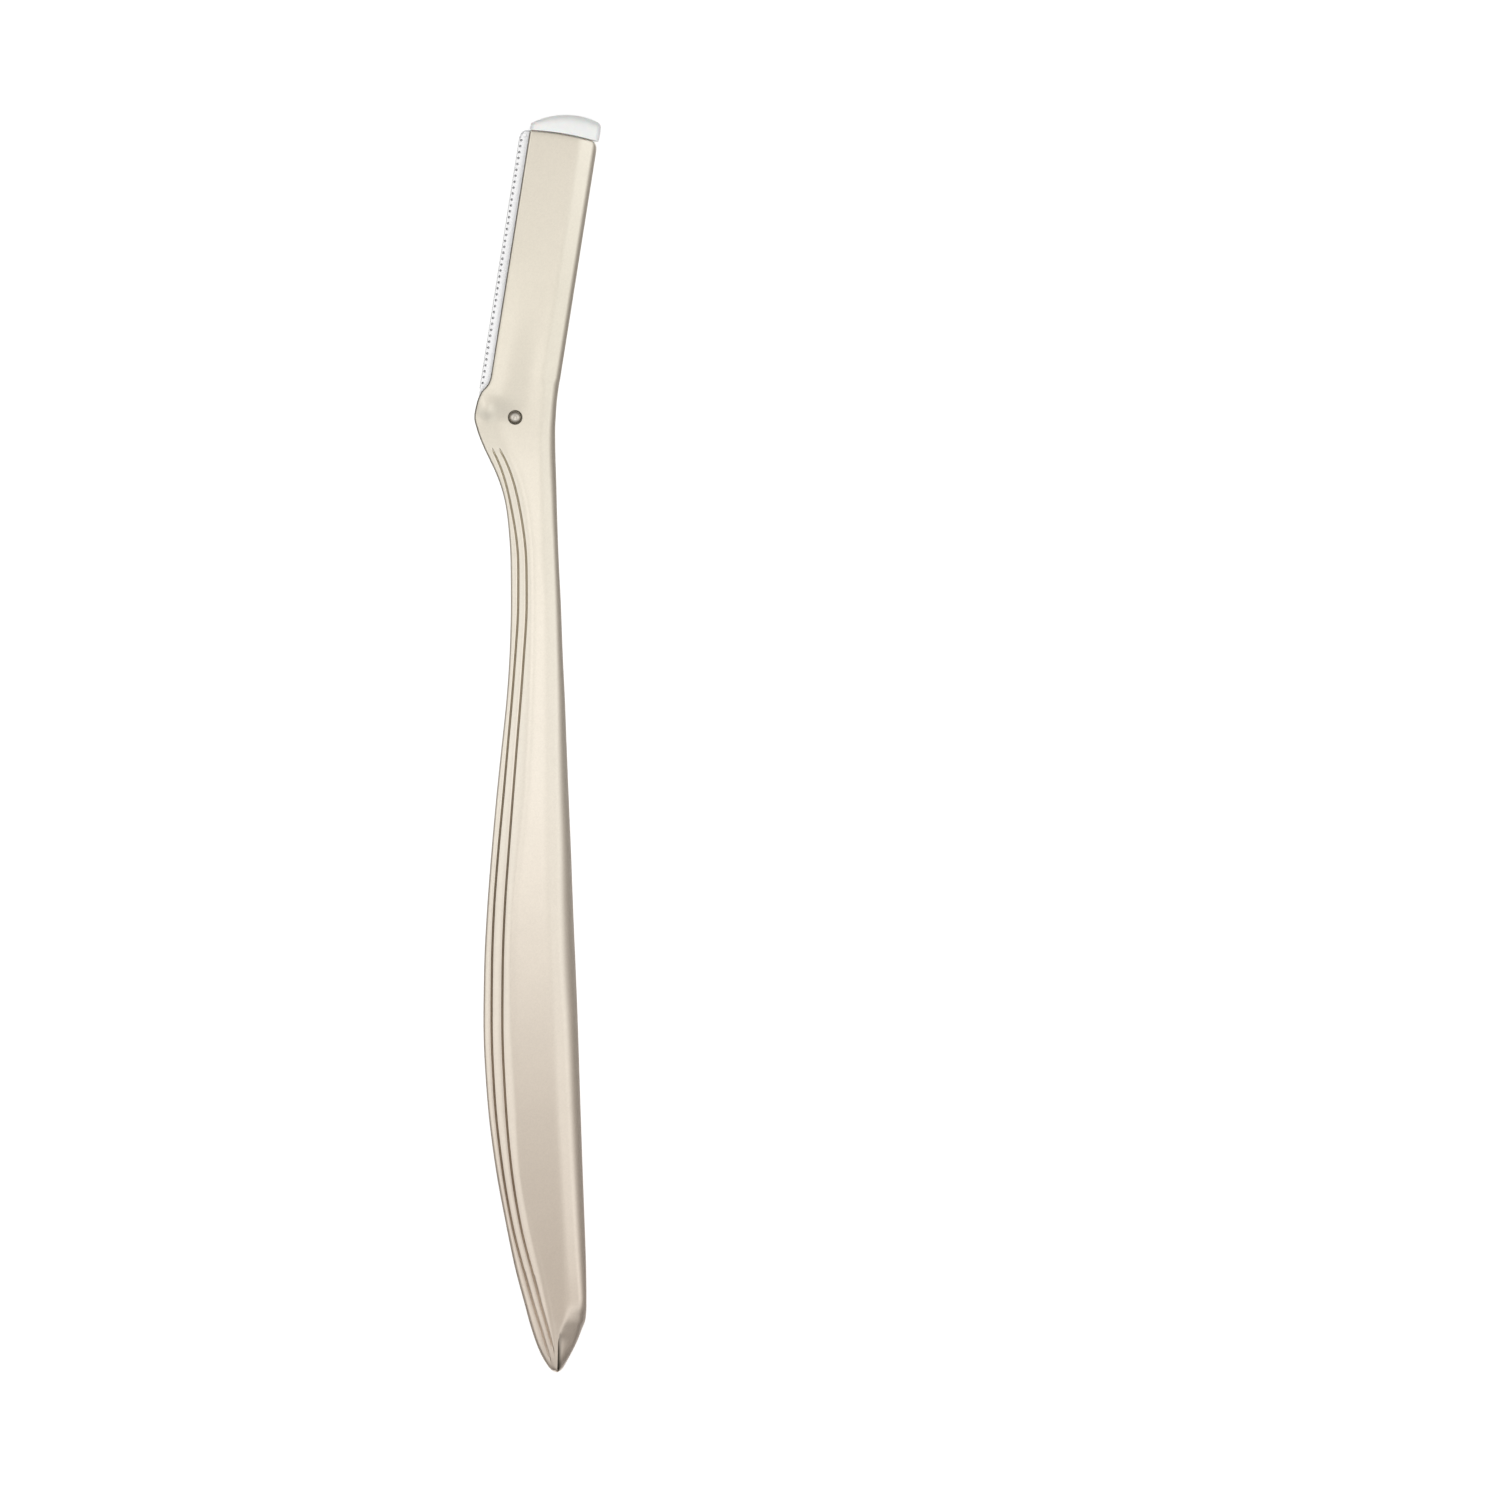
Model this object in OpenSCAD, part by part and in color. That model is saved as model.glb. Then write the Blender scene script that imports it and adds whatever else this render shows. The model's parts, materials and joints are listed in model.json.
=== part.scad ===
// Eyebrow razor with a slim handle and a blade carrier that swings out of a slotted head.
// It lies on the flat of its back: +Z comes out of the front face, +Y points to the head
// and the blade's edge faces -X. The origin is on the resting plane, under the middle.
// Every module is drawn about the pivot axis and then moved to its place by at_pivot().

/* [Handle] */
// Distance from the pivot axis down to the tip
tip_len = 111.4; // [95:0.1:125]
// Width of the grip at its widest
grip_w = 11; // [10.4:0.1:12]
// Thickness of the grip at its thickest
grip_t = 6; // [5.6:0.1:7.5]
// Rounding of the long edges
edge_r = 0.5; // [0.2:0.05:0.8]
// Width of each decorative groove
groove_w = 0.36; // [0.2:0.02:0.5]
// Depth of each decorative groove
groove_depth = 0.28; // [0.1:0.02:0.45]

/* [Head] */
// Lean of the head towards the spine, in degrees
head_tilt = 9; // [4:0.5:12]
// Thickness of the head
head_t = 4.2; // [4:0.1:5]
// Distance from the pivot's centre line to the slot edge
slot_side_w = 3.55; // [3.2:0.05:3.7]
// Distance from the pivot's centre line to the spine
spine_side_w = 4.47; // [4.3:0.01:5.5]
// Thickness of the wall that closes the slot at the spine
spine_wall = 1; // [0.7:0.05:1.1]
// Width of the long bevel beside the spine
bevel_w = 2.15; // [1.2:0.05:2.6]
// Drop of that bevel at the spine
bevel_drop = 0.58; // [0.2:0.02:0.8]
// Rounding of the spine's long edges
spine_round = 0.8; // [0.3:0.05:1]
// Rounding of the head's corner at the spine
corner_r = 0.9; // [0.4:0.1:1.2]
// Thickness of the slot between the two shells
slot_t = 2; // [1.8:0.05:2.4]

/* [Pivot] */
// Diameter of the pivot pin
pin_d = 1.5; // [1.2:0.05:1.8]
// Height of the pin's domed ends
dome_h = 0.3; // [0.15:0.05:0.45]
// Depth of the dished recess round each domed end
recess_depth = 0.25; // [0.1:0.05:0.4]
// Outer diameter of the bush in the carrier
bush_d = 2.4; // [2.1:0.05:2.8]
// Diameter of the carrier's hub
hub_d = 4.9; // [4.4:0.1:5.2]
// Outer diameter of the thrust washers
washer_d = 4.2; // [3:0.1:4.6]
// Furthest that the carrier swings out, in degrees
swing_deg = 20; // [10:1:22]
// Diameter of the pin that stops the carrier
stop_pin_d = 0.8; // [0.6:0.05:0.9]

/* [Blade] */
// Length of the blade
blade_len = 29.8; // [24:0.1:34]
// Thickness of the blade
blade_t = 0.2; // [0.1:0.02:0.24]
// Distance that the blade's edge stands out of the slot
blade_reach = 1.1; // [0.8:0.05:1.4]
// Width of the ground bevel on each side of the blade
grind_w = 0.5; // [0.3:0.05:0.7]
// Thickness of each guard strip
guard_t = 0.25; // [0.15:0.01:0.26]
// Distance that the blade's edge stands out of the guards
guard_setback = 0.07; // [0.05:0.01:0.2]
// Diameter of the small windows along the guards
window_d = 0.3; // [0.2:0.02:0.32]
// Spacing of those windows
window_pitch = 0.7; // [0.6:0.02:1.2]
// Thickness of the plate that clamps the blade
clamp_t = 0.25; // [0.15:0.01:0.26]
// Diameter of the clamp's rivets
rivet_d = 0.9; // [0.7:0.05:1.1]
// Thickness of the carrier, hub and rib
carrier_t = 1.5; // [1.4:0.02:1.5]

/* [Thumb tab] */
// Height of the tab's crown above the head's top edge
tab_rise = 2.42; // [1.8:0.02:3.2]
// Radius of the crown
crown_r = 8.8; // [7.5:0.1:12]
// Thickness of the tab
tab_t = 4; // [3:0.1:4.2]
// Rounding of the crown's edges
tab_round = 0.9; // [0.3:0.1:1.2]

/* [Inside the handle] */
// Width of the stiffening bar
bar_w = 2.6; // [2:0.1:2.8]
// Thickness of the stiffening bar
bar_t = 2.2; // [1.6:0.1:2.4]
// Diameter of the locating dowels
dowel_d = 1.2; // [0.9:0.05:1.4]
// Length of the locating dowels
dowel_len = 4; // [3:0.1:4.2]
// Thickness of the click spring's leaf
leaf_t = 0.3; // [0.2:0.02:0.36]
// Length of the click spring from the pivot to its pin
leaf_len = 13.5; // [10:0.1:15]
// Diameter of the pin that holds the click spring
spring_pin_d = 1; // [0.8:0.05:1.2]

/* [Clearances] */
// Gap between pieces that move past each other
swing_gap = 0.25; // [0.2:0.01:0.3]
// Radial gap between the pivot pin and its bush
run_gap = 0.03; // [0.02:0.01:0.06]
// Gap round pieces that are pressed or laid in place
fit_gap = 0.02; // [0.01:0.01:0.04]

/* [Hidden] */
$fn = 48;
over = 1;
round_mid_share = 0.29;
round_limit_share = 0.7;
round_steps = 5;
section_points = 14 + round_steps;

// Outline and section of the handle from the tip up to the knuckle. Each row holds: place
// along the handle as a share of tip_len, then as shares of grip_w the left edge, outer
// groove, inner groove, left and right edges of the centre panel and right edge, then as
// shares of half of grip_t the heights of the front panel, back panel, left shoulder and
// right shoulder, the share of the groove's full depth, and last, as a share of grip_w again,
// the rounding of the right edge.
handle_shares = [
    [-1.000, 0.428, 0.433, 0.437, 0.441, 0.445, 0.454, 0.38, 0.36, 0.30, 0.22, 0, 0.011],
    [-0.998, 0.397, 0.417, 0.430, 0.441, 0.449, 0.479, 0.44, 0.44, 0.36, 0.23, 0, 0.013],
    [-0.992, 0.348, 0.388, 0.421, 0.440, 0.452, 0.516, 0.52, 0.54, 0.42, 0.25, 0, 0.018],
    [-0.983, 0.291, 0.364, 0.417, 0.443, 0.455, 0.563, 0.61, 0.64, 0.48, 0.28, 0.5, 0.025],
    [-0.970, 0.228, 0.320, 0.386, 0.440, 0.459, 0.635, 0.70, 0.74, 0.54, 0.33, 1, 0.040],
    [-0.956, 0.177, 0.276, 0.348, 0.412, 0.484, 0.704, 0.78, 0.82, 0.58, 0.43, 1, 0.063],
    [-0.945, 0.144, 0.241, 0.316, 0.389, 0.526, 0.745, 0.83, 0.88, 0.60, 0.54, 1, 0.075],
    [-0.938, 0.125, 0.219, 0.296, 0.376, 0.536, 0.752, 0.85, 0.91, 0.61, 0.625, 1, 0.079],
    [-0.933, 0.112, 0.204, 0.281, 0.367, 0.539, 0.755, 0.86, 0.93, 0.62, 0.70, 1, 0.082],
    [-0.922, 0.082, 0.171, 0.253, 0.344, 0.536, 0.755, 0.87, 0.95, 0.63, 0.74, 1, 0.086],
    [-0.892, 0.000, 0.087, 0.174, 0.279, 0.523, 0.752, 0.91, 1.00, 0.65, 0.74, 1, 0.105],
    [-0.851, -0.086, -0.021, 0.066, 0.176, 0.502, 0.738, 0.95, 1.00, 0.67, 0.76, 1, 0.120],
    [-0.783, -0.213, -0.141, -0.045, 0.062, 0.465, 0.713, 0.98, 1.00, 0.68, 0.77, 1, 0.133],
    [-0.711, -0.299, -0.219, -0.106, 0.028, 0.424, 0.688, 1.00, 1.00, 0.68, 0.77, 1, 0.144],
    [-0.636, -0.337, -0.250, -0.136, -0.018, 0.385, 0.664, 1.00, 1.00, 0.68, 0.77, 1, 0.157],
    [-0.575, -0.329, -0.246, -0.132, -0.029, 0.359, 0.640, 1.00, 1.00, 0.68, 0.77, 1, 0.177],
    [-0.518, -0.300, -0.226, -0.112, -0.011, 0.337, 0.615, 1.00, 1.00, 0.69, 0.77, 1, 0.168],
    [-0.454, -0.251, -0.178, -0.068, 0.056, 0.325, 0.591, 0.98, 1.00, 0.70, 0.77, 1, 0.148],
    [-0.396, -0.198, -0.124, -0.023, 0.125, 0.322, 0.566, 0.97, 1.00, 0.70, 0.77, 1, 0.135],
    [-0.342, -0.141, -0.076, 0.020, 0.157, 0.322, 0.544, 0.95, 1.00, 0.71, 0.77, 1, 0.121],
    [-0.294, -0.090, -0.033, 0.060, 0.178, 0.322, 0.526, 0.94, 1.00, 0.71, 0.77, 1, 0.102],
    [-0.246, -0.058, 0.004, 0.095, 0.189, 0.322, 0.502, 0.92, 1.00, 0.71, 0.77, 1, 0.085],
    [-0.198, -0.045, 0.033, 0.123, 0.194, 0.320, 0.485, 0.91, 1.00, 0.71, 0.76, 1, 0.077],
    [-0.149, -0.048, 0.034, 0.119, 0.189, 0.290, 0.460, 0.90, 1.00, 0.71, 0.75, 1, 0.068],
    [-0.113, -0.072, -0.006, 0.081, 0.162, 0.282, 0.447, 0.89, 0.99, 0.71, 0.74, 1, 0.072],
    [-0.090, -0.100, -0.051, 0.038, 0.130, 0.277, 0.440, 0.88, 0.98, 0.70, 0.72, 1, 0.074],
    [-0.066, -0.169, -0.103, -0.017, 0.072, 0.274, 0.435, 0.87, 0.96, 0.69, 0.70, 1, 0.077],
    [-0.045, -0.268, -0.185, -0.103, -0.013, 0.267, 0.427, 0.853, 0.92, 0.68, 0.68, 0.9, 0.079],
    [-0.029, -0.344, -0.262, -0.187, -0.098, 0.263, 0.424, 0.825, 0.875, 0.67, 0.66, 0, 0.081],
    [-0.013, -0.404, -0.326, -0.246, -0.161, 0.260, 0.423, 0.789, 0.82, 0.66, 0.64, 0, 0.081],
    [0.000, -0.433, -0.352, -0.267, -0.177, 0.263, 0.429, 0.758, 0.775, 0.66, 0.62, 0, 0.079],
    [0.015, -0.407, -0.331, -0.246, -0.161, 0.274, 0.439, 0.728, 0.735, 0.66, 0.59, 0, 0.077],
    [0.026, -0.362, -0.289, -0.214, -0.129, 0.284, 0.452, 0.711, 0.713, 0.67, 0.56, 0, 0.076],
    [0.035, -0.285, -0.225, -0.161, -0.087, 0.295, 0.465, 0.703, 0.703, 0.69, 0.53, 0, 0.075]
];
// Place of the first head section along the handle, as a share of tip_len
head_start_share = 0.043;
// Places of the hidden lines across the flat of the head, as shares of its flat width
head_line_shares = [0.2, 0.45, 0.7];
knuckle_share = 0.433;

// Sizes that follow from the ones above
parting_z = grip_t / 2;
half_t = grip_t / 2;
head_half_t = head_t / 2;
slot_half = slot_t / 2;
pin_r = pin_d / 2;
hub_r = hub_d / 2;
blade_v = slot_side_w + blade_reach;
guard_v = blade_v - guard_setback;
spine_v = spine_side_w - spine_wall;
thrust_gap = 0.05;
washer_t = (slot_t - carrier_t) / 2 - thrust_gap;
carrier_bottom = parting_z - carrier_t / 2;
carrier_top = parting_z + carrier_t / 2;
blade_bottom = parting_z - blade_t / 2;
blade_top = parting_z + blade_t / 2;
guard_top = blade_top + guard_t;
guard_bottom = blade_bottom - guard_t;
clamp_top = guard_top + clamp_t;

// Guards and blade along the head, counted from the pivot; the head is as long as they need
guard_start = 1.4;
guard_step = 1.3;
blade_start = guard_start + guard_step;
blade_end_margin = 1;
head_r = blade_start + blade_len + blade_end_margin;
guard_end_inset = 0.15;
guard_end = head_r - guard_end_inset;
guard_corner = 0.8;
guard_foot_v = 2.7;
guard_neck_v = 2.2;
window_inset = 0.21;
window_start = 0.67;
eyelet_d = 0.42;
eyelet_v_inset = 0.48;
eyelet_u_inset = 0.62;

// Places on the carrier, in the head's own lines: v across towards the spine, u up
rib_v0 = -0.5;
rib_v1 = spine_v - swing_gap;
rib_foot_v = 1.9;
rib_foot_u = 1.4;
rib_side_u = 2.2;
stack_gap = 0.1;
stack_v1 = rib_v0 - stack_gap;
cheek_inset = 0.22;
cheek_v0 = cheek_inset - slot_side_w;
shoulder_inset = 0.12;
shoulder_v = slot_side_w - shoulder_inset;
shoulder_deg = 80;
shoulder_h = 0.72;
clamp_inset = 0.3;
clamp_v0 = clamp_inset - slot_side_w;
rivet_v = (clamp_v0 + stack_v1) / 2;
rivet_inset = 2.8;
rivet_count = 3;
rivet_head_d = 1.35;
carrier_end_inset = 0.3;
carrier_end_r = head_r - carrier_end_inset;
tongue_t = 1;
tongue_w = 2.8;
tongue_v0 = 0.2;
tongue_len = 1.4;
tab_overhang = 0.13;
tab_right_v = spine_side_w + tab_overhang;
crown_v = 1.65;
end_cut_deg = 22;

// Slot ends: the outer one lets the guards pass, the inner one takes the shoulder and stop
guard_corner_deg = atan2(guard_v, guard_start);
slot_end_margin_deg = 2;
slot_end_deg = guard_corner_deg + swing_deg + slot_end_margin_deg;
pocket_margin = 0.5;
inner_pocket_r = shoulder_v + pocket_margin;
stop_margin = 0.15;
stop_r = hub_r + stop_margin + stop_pin_d / 2;
stop_deg = shoulder_deg + swing_deg + asin((stop_pin_d / 2 + run_gap) / stop_r);
pocket_end_deg = 10;
inner_end_deg = stop_deg + pocket_end_deg;
pin_seat = 0.5;
stop_pin_len = slot_t + 2 * pin_seat;

// Click spring: its leaf stands beside the hub and its eye holds the spring pin
leaf_gap = 0.05;
leaf_nib = 0.15;
leaf_x = hub_r + leaf_gap + leaf_nib;
leaf_top = 1;
eye_r = 0.95;
eye_x = leaf_x + leaf_t - eye_r;
leaf_h = 1.4;
spring_pin_len = slot_t + 2 * pin_seat;

// Stiffening bar below the spring's eye, and dowels placed as shares of tip_len
bar_clear = 3.9;
bar_from = leaf_len + eye_r + bar_clear;
bar_end_share = 0.86;
bar_steps = 14;
dowel_shares = [0.2, 0.4, 0.6, 0.8];
bar_gap = 0.1;

// Pivot pin ends
recess_margin = 0.1;
recess_r = pin_r + recess_margin;
spigot_r = 0.45;
spigot_len = 0.7;
cap_depth = 0.75;

// Highest point of the tab and its furthest point towards the spine, about the pivot
crown_u = head_r + tab_rise - crown_r;
tab_corner_u = crown_u + sqrt(pow(crown_r, 2) - pow(tab_right_v - crown_v, 2));
tab_reach = tab_right_v * cos(head_tilt) + tab_corner_u * sin(head_tilt);
tab_top = crown_u * cos(head_tilt) - crown_v * sin(head_tilt) + crown_r;
knuckle_reach = knuckle_share * grip_w;
pivot_x = (knuckle_reach - tab_reach) / 2;
pivot_y = (tip_len - tab_top) / 2;

// Straight lines of the head: place across at a height y for a distance v from the centre
function head_x(v, y) = (v + y * sin(head_tilt)) / cos(head_tilt);

// A row of the table turned into lengths
function handle_row(s) = [
    s[0] * tip_len,
    s[1] * grip_w, s[2] * grip_w, s[3] * grip_w, s[4] * grip_w, s[5] * grip_w, s[6] * grip_w,
    s[7] * half_t, s[8] * half_t, s[9] * half_t, s[10] * half_t,
    s[11] * groove_depth, s[12] * grip_w
];

// A section of the head at height y, with the same entries as a row of the handle
function head_row(y) = let (
    left = head_x(-slot_side_w, y),
    right = head_x(spine_side_w, y),
    panel = head_x(spine_side_w - bevel_w, y),
    flat_w = panel - left
) [
    y, left,
    left + flat_w * head_line_shares[0],
    left + flat_w * head_line_shares[1],
    left + flat_w * head_line_shares[2],
    panel, right,
    head_half_t, head_half_t, head_half_t, head_half_t - bevel_drop, 0, spine_round
];

rows = concat([for (s = handle_shares) handle_row(s)], [head_row(head_start_share * tip_len)]);
last = len(rows) - 1;

// Slope of column c at row i, level where the column turns or stays flat, so that the
// curve between rows i and i + 1 never runs past them
function rise(c, i) = (rows[i + 1][c] - rows[i][c]) / (rows[i + 1][0] - rows[i][0]);
function slope(c, i) = let (a = rise(c, max(i - 1, 0)), b = rise(c, min(i, last - 1)))
    a * b <= 0 ? 0 : 2 * a * b / (a + b);
function between(c, i, t) = let (h = rows[i + 1][0] - rows[i][0])
    (2 * t * t * t - 3 * t * t + 1) * rows[i][c]
    + (t * t * t - 2 * t * t + t) * h * slope(c, i)
    + (3 * t * t - 2 * t * t * t) * rows[i + 1][c]
    + (t * t * t - t * t) * h * slope(c, i + 1);
function blend_row(i, t) = [
    for (c = [0 : 12]) c == 0 ? rows[i][0] + t * (rows[i + 1][0] - rows[i][0]) : between(c, i, t)
];

// Row index and fraction for a height y, used by what follows the handle's middle line
function row_below(y, i = 0) = (i >= last - 1 || rows[i + 1][0] > y) ? i : row_below(y, i + 1);
function at_height(c, y) = let (i = row_below(y), t = (y - rows[i][0]) / (rows[i + 1][0] - rows[i][0]))
    between(c, i, t);
function middle_x(y) = (at_height(1, y) + at_height(6, y)) / 2;

// Points of one section. side is 1 for the front shell and -1 for the back shell.
function section(r, side) = let (
    left = r[1],
    panel_a = r[4],
    panel_b = r[5],
    right = r[6],
    face = side > 0 ? r[7] : r[8],
    low_left = min(r[9], face),
    low_right = min(r[10], face),
    er = min(edge_r, (r[2] - left) / 2),
    wide_r = min(r[12], (right - panel_b) * round_limit_share),
    gw = min(groove_w, (r[3] - r[2]) / 2) / 2,
    rise_a = (face - low_left) / (panel_a - left),
    rise_b = (face - low_right) / (right - panel_b),
    mid = er * round_mid_share,
    points = [
        [left, 0],
        [left, low_left - er],
        [left + mid, low_left + rise_a * mid - mid],
        [left + er, low_left + rise_a * er],
        [r[2] - gw, low_left + rise_a * (r[2] - gw - left)],
        [r[2], low_left + rise_a * (r[2] - left) - r[11]],
        [r[2] + gw, low_left + rise_a * (r[2] + gw - left)],
        [r[3] - gw, low_left + rise_a * (r[3] - gw - left)],
        [r[3], low_left + rise_a * (r[3] - left) - r[11]],
        [r[3] + gw, low_left + rise_a * (r[3] + gw - left)],
        [panel_a, face],
        [panel_b, face],
        for (k = [round_steps : -1 : 0])
            let (a = 90 * k / round_steps, inward = wide_r * (1 - cos(a)))
                [right - inward, low_right + rise_b * inward - wide_r * (1 - sin(a))],
        [right, 0]
    ]
) [for (p = points) [p[0], r[0], parting_z + side * p[1]]];

// Skins a list of sections of n points each
module skin(sections, n, side) {
    count = len(sections);
    points = [for (s = sections, p = s) p];
    first_cap = [for (i = [0 : n - 1]) i];
    last_cap = [for (i = [n - 1 : -1 : 0]) (count - 1) * n + i];
    walls = [
        for (k = [0 : count - 2], i = [0 : n - 1])
            let (a = k * n + i, b = k * n + (i + 1) % n)
                each [[a, a + n, b + n], [a, b + n, b]]
    ];
    faces = concat([first_cap, last_cap], walls);
    turned = [for (f = faces) [for (i = [len(f) - 1 : -1 : 0]) f[i]]];
    polyhedron(points = points, faces = side > 0 ? faces : turned);
}

// One half of the handle's outside, before it is hollowed
module shell_body(side) {
    low = [for (i = [0 : last - 1], t = [0, 0.5]) blend_row(i, t)];
    high = [for (s = [head_start_share * tip_len, head_r / 2, head_r + over]) head_row(s)];
    skin([for (r = concat(low, high)) section(r, side)], section_points, side);
}

module at_pivot() {
    translate([pivot_x, pivot_y, 0]) children();
}

module in_head() {
    rotate([0, 0, -head_tilt]) children();
}

// A slice of outline between two heights
module plate(bottom, top) {
    translate([0, 0, bottom]) linear_extrude(height = top - bottom) children();
}

// What is cut off beyond the head's top edge and round its spine corner
module head_end_cut() {
    corner_v = spine_side_w - corner_r;
    corner_u = sqrt(pow(head_r - corner_r, 2) - pow(corner_v, 2));
    plate(-over, grip_t + over) {
        difference() {
            translate([-head_r, head_r * cos(end_cut_deg)]) square([2 * head_r, head_r]);
            circle(r = head_r, $fn = 180);
        }
        difference() {
            translate([corner_v, corner_u]) square(corner_r + over);
            translate([corner_v, corner_u]) circle(r = corner_r);
        }
    }
}

// Wedge between two angles, counted from the head's own upward line towards the blade
module wedge(r, from_deg, to_deg) {
    middle = (from_deg + to_deg) / 2;
    polygon([
        [0, 0],
        [-r * sin(from_deg), r * cos(from_deg)],
        [-r * sin(middle), r * cos(middle)],
        [-r * sin(to_deg), r * cos(to_deg)]
    ]);
}

// Room for the carrier over its whole swing, in the head's own lines
module slot_outline() {
    far = head_r + over;
    circle(r = hub_r + swing_gap);
    polygon([
        [0, 0],
        [rib_foot_v, rib_foot_u - 2 * swing_gap],
        [spine_v, rib_side_u - 2 * swing_gap],
        [spine_v, far],
        [-far, far],
        [-far * sin(slot_end_deg), far * cos(slot_end_deg)]
    ]);
    intersection() {
        circle(r = inner_pocket_r);
        wedge(2 * inner_pocket_r, 0, inner_end_deg);
    }
}

// Pocket for the click spring in plan
module spring_pocket_outline() {
    translate([leaf_x - swing_gap, -leaf_len])
        square([leaf_t + 2 * swing_gap, leaf_len + leaf_top + swing_gap]);
    translate([eye_x, -leaf_len]) circle(r = eye_r + swing_gap);
}

// Outline of the stiffening bar along the handle's middle line, grown by a gap
module bar_outline(gap) {
    from_y = gap - bar_from;
    to_y = -bar_end_share * tip_len - gap;
    ys = [for (i = [0 : bar_steps]) from_y + (to_y - from_y) * i / bar_steps];
    reach = bar_w / 2 + gap;
    polygon(concat(
        [for (y = ys) [middle_x(y) - reach, y]],
        [for (i = [bar_steps : -1 : 0]) [middle_x(ys[i]) + reach, ys[i]]]
    ));
}

// Upright cylinders at the dowel places
module at_dowels() {
    for (s = dowel_shares) {
        translate([middle_x(-s * tip_len), -s * tip_len, 0]) children();
    }
}

module at_stop() {
    in_head() rotate([0, 0, stop_deg]) translate([0, stop_r, 0]) children();
}

module at_spring_eye() {
    translate([eye_x, -leaf_len, 0]) children();
}

// Everything that is hollowed out of both shells
module shell_hollows() {
    plate(parting_z - slot_half, parting_z + slot_half) in_head() slot_outline();
    plate(parting_z - slot_half, parting_z + slot_half) spring_pocket_outline();
    plate(parting_z - bar_t / 2 - fit_gap, parting_z + bar_t / 2 + fit_gap) bar_outline(bar_gap);
    at_dowels() translate([0, 0, parting_z - dowel_len / 2 - fit_gap])
        cylinder(r = dowel_d / 2 + fit_gap, h = dowel_len + 2 * fit_gap);
    at_stop() translate([0, 0, parting_z - stop_pin_len / 2 - fit_gap])
        cylinder(r = stop_pin_d / 2 + fit_gap, h = stop_pin_len + 2 * fit_gap);
    at_spring_eye() translate([0, 0, parting_z - spring_pin_len / 2 - fit_gap])
        cylinder(r = spring_pin_d / 2 + fit_gap, h = spring_pin_len + 2 * fit_gap);
    translate([0, 0, -over]) cylinder(r = pin_r + fit_gap, h = grip_t + 2 * over);
}

// Height of each face where the pivot pin comes through
pin_face_front = parting_z + at_height(7, 0);
pin_face_back = parting_z - at_height(8, 0);

module front_shell() {
    color([0.87, 0.85, 0.79])
    at_pivot() difference() {
        shell_body(1);
        in_head() head_end_cut();
        shell_hollows();
        translate([0, 0, pin_face_front - recess_depth]) cylinder(r = recess_r, h = recess_depth + over);
    }
}

module back_shell() {
    color([0.84, 0.81, 0.75])
    at_pivot() difference() {
        shell_body(-1);
        in_head() head_end_cut();
        shell_hollows();
        translate([0, 0, pin_face_back - over]) cylinder(r = recess_r, h = recess_depth + over);
    }
}

module stiffening_bar() {
    color([0.55, 0.56, 0.58])
    at_pivot() difference() {
        plate(parting_z - bar_t / 2, parting_z + bar_t / 2) bar_outline(0);
        at_dowels() translate([0, 0, -over]) cylinder(r = dowel_d / 2 + fit_gap, h = grip_t + 2 * over);
    }
}

module locating_dowels() {
    color([0.7, 0.7, 0.72])
    at_pivot() at_dowels() translate([0, 0, parting_z - dowel_len / 2])
        cylinder(r = dowel_d / 2, h = dowel_len);
}

// Low dome on a round end, as the cap of a sphere
module dome(r, h) {
    ball_r = (pow(r, 2) + pow(h, 2)) / (2 * h);
    rotate_extrude() intersection() {
        translate([0, h - ball_r]) circle(r = ball_r, $fn = 96);
        square([r, h]);
    }
}

module pivot_pin() {
    shaft_bottom = pin_face_back + dome_h + cap_depth;
    shaft_top = pin_face_front - dome_h;
    color([0.72, 0.72, 0.74])
    at_pivot() union() {
        translate([0, 0, shaft_bottom]) cylinder(r = pin_r, h = shaft_top - shaft_bottom);
        translate([0, 0, shaft_bottom - spigot_len]) cylinder(r = spigot_r, h = spigot_len);
        translate([0, 0, shaft_top]) dome(pin_r, dome_h);
    }
}

module pivot_cap() {
    cap_bottom = pin_face_back + dome_h;
    cap_h = cap_depth - fit_gap;
    color([0.72, 0.72, 0.74])
    at_pivot() difference() {
        union() {
            translate([0, 0, cap_bottom]) cylinder(r = pin_r, h = cap_h);
            translate([0, 0, cap_bottom]) mirror([0, 0, 1]) dome(pin_r, dome_h);
        }
        translate([0, 0, cap_bottom + cap_depth - spigot_len - fit_gap])
            cylinder(r = spigot_r + fit_gap, h = spigot_len + over);
    }
}

module washer() {
    difference() {
        cylinder(r = washer_d / 2, h = washer_t);
        translate([0, 0, -over]) cylinder(r = pin_r + run_gap, h = washer_t + 2 * over);
    }
}

module pivot_washers() {
    color([0.78, 0.62, 0.36])
    at_pivot() {
        translate([0, 0, parting_z - slot_half]) washer();
        translate([0, 0, parting_z + slot_half - washer_t]) washer();
    }
}

module click_spring() {
    bottom = parting_z - leaf_h / 2;
    color([0.6, 0.61, 0.64])
    at_pivot() difference() {
        union() {
            plate(bottom, bottom + leaf_h) polygon([
                [leaf_x, -leaf_len],
                [leaf_x, -2 * leaf_nib],
                [leaf_x - leaf_nib, 0],
                [leaf_x, 2 * leaf_nib],
                [leaf_x, leaf_top],
                [leaf_x + leaf_t, leaf_top],
                [leaf_x + leaf_t, -leaf_len]
            ]);
            translate([eye_x, -leaf_len, bottom]) cylinder(r = eye_r, h = leaf_h);
        }
        translate([eye_x, -leaf_len, bottom - over])
            cylinder(r = spring_pin_d / 2 + fit_gap, h = leaf_h + 2 * over);
    }
}

module spring_pin() {
    color([0.7, 0.7, 0.72])
    at_pivot() at_spring_eye() translate([0, 0, parting_z - spring_pin_len / 2])
        cylinder(r = spring_pin_d / 2, h = spring_pin_len);
}

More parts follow.
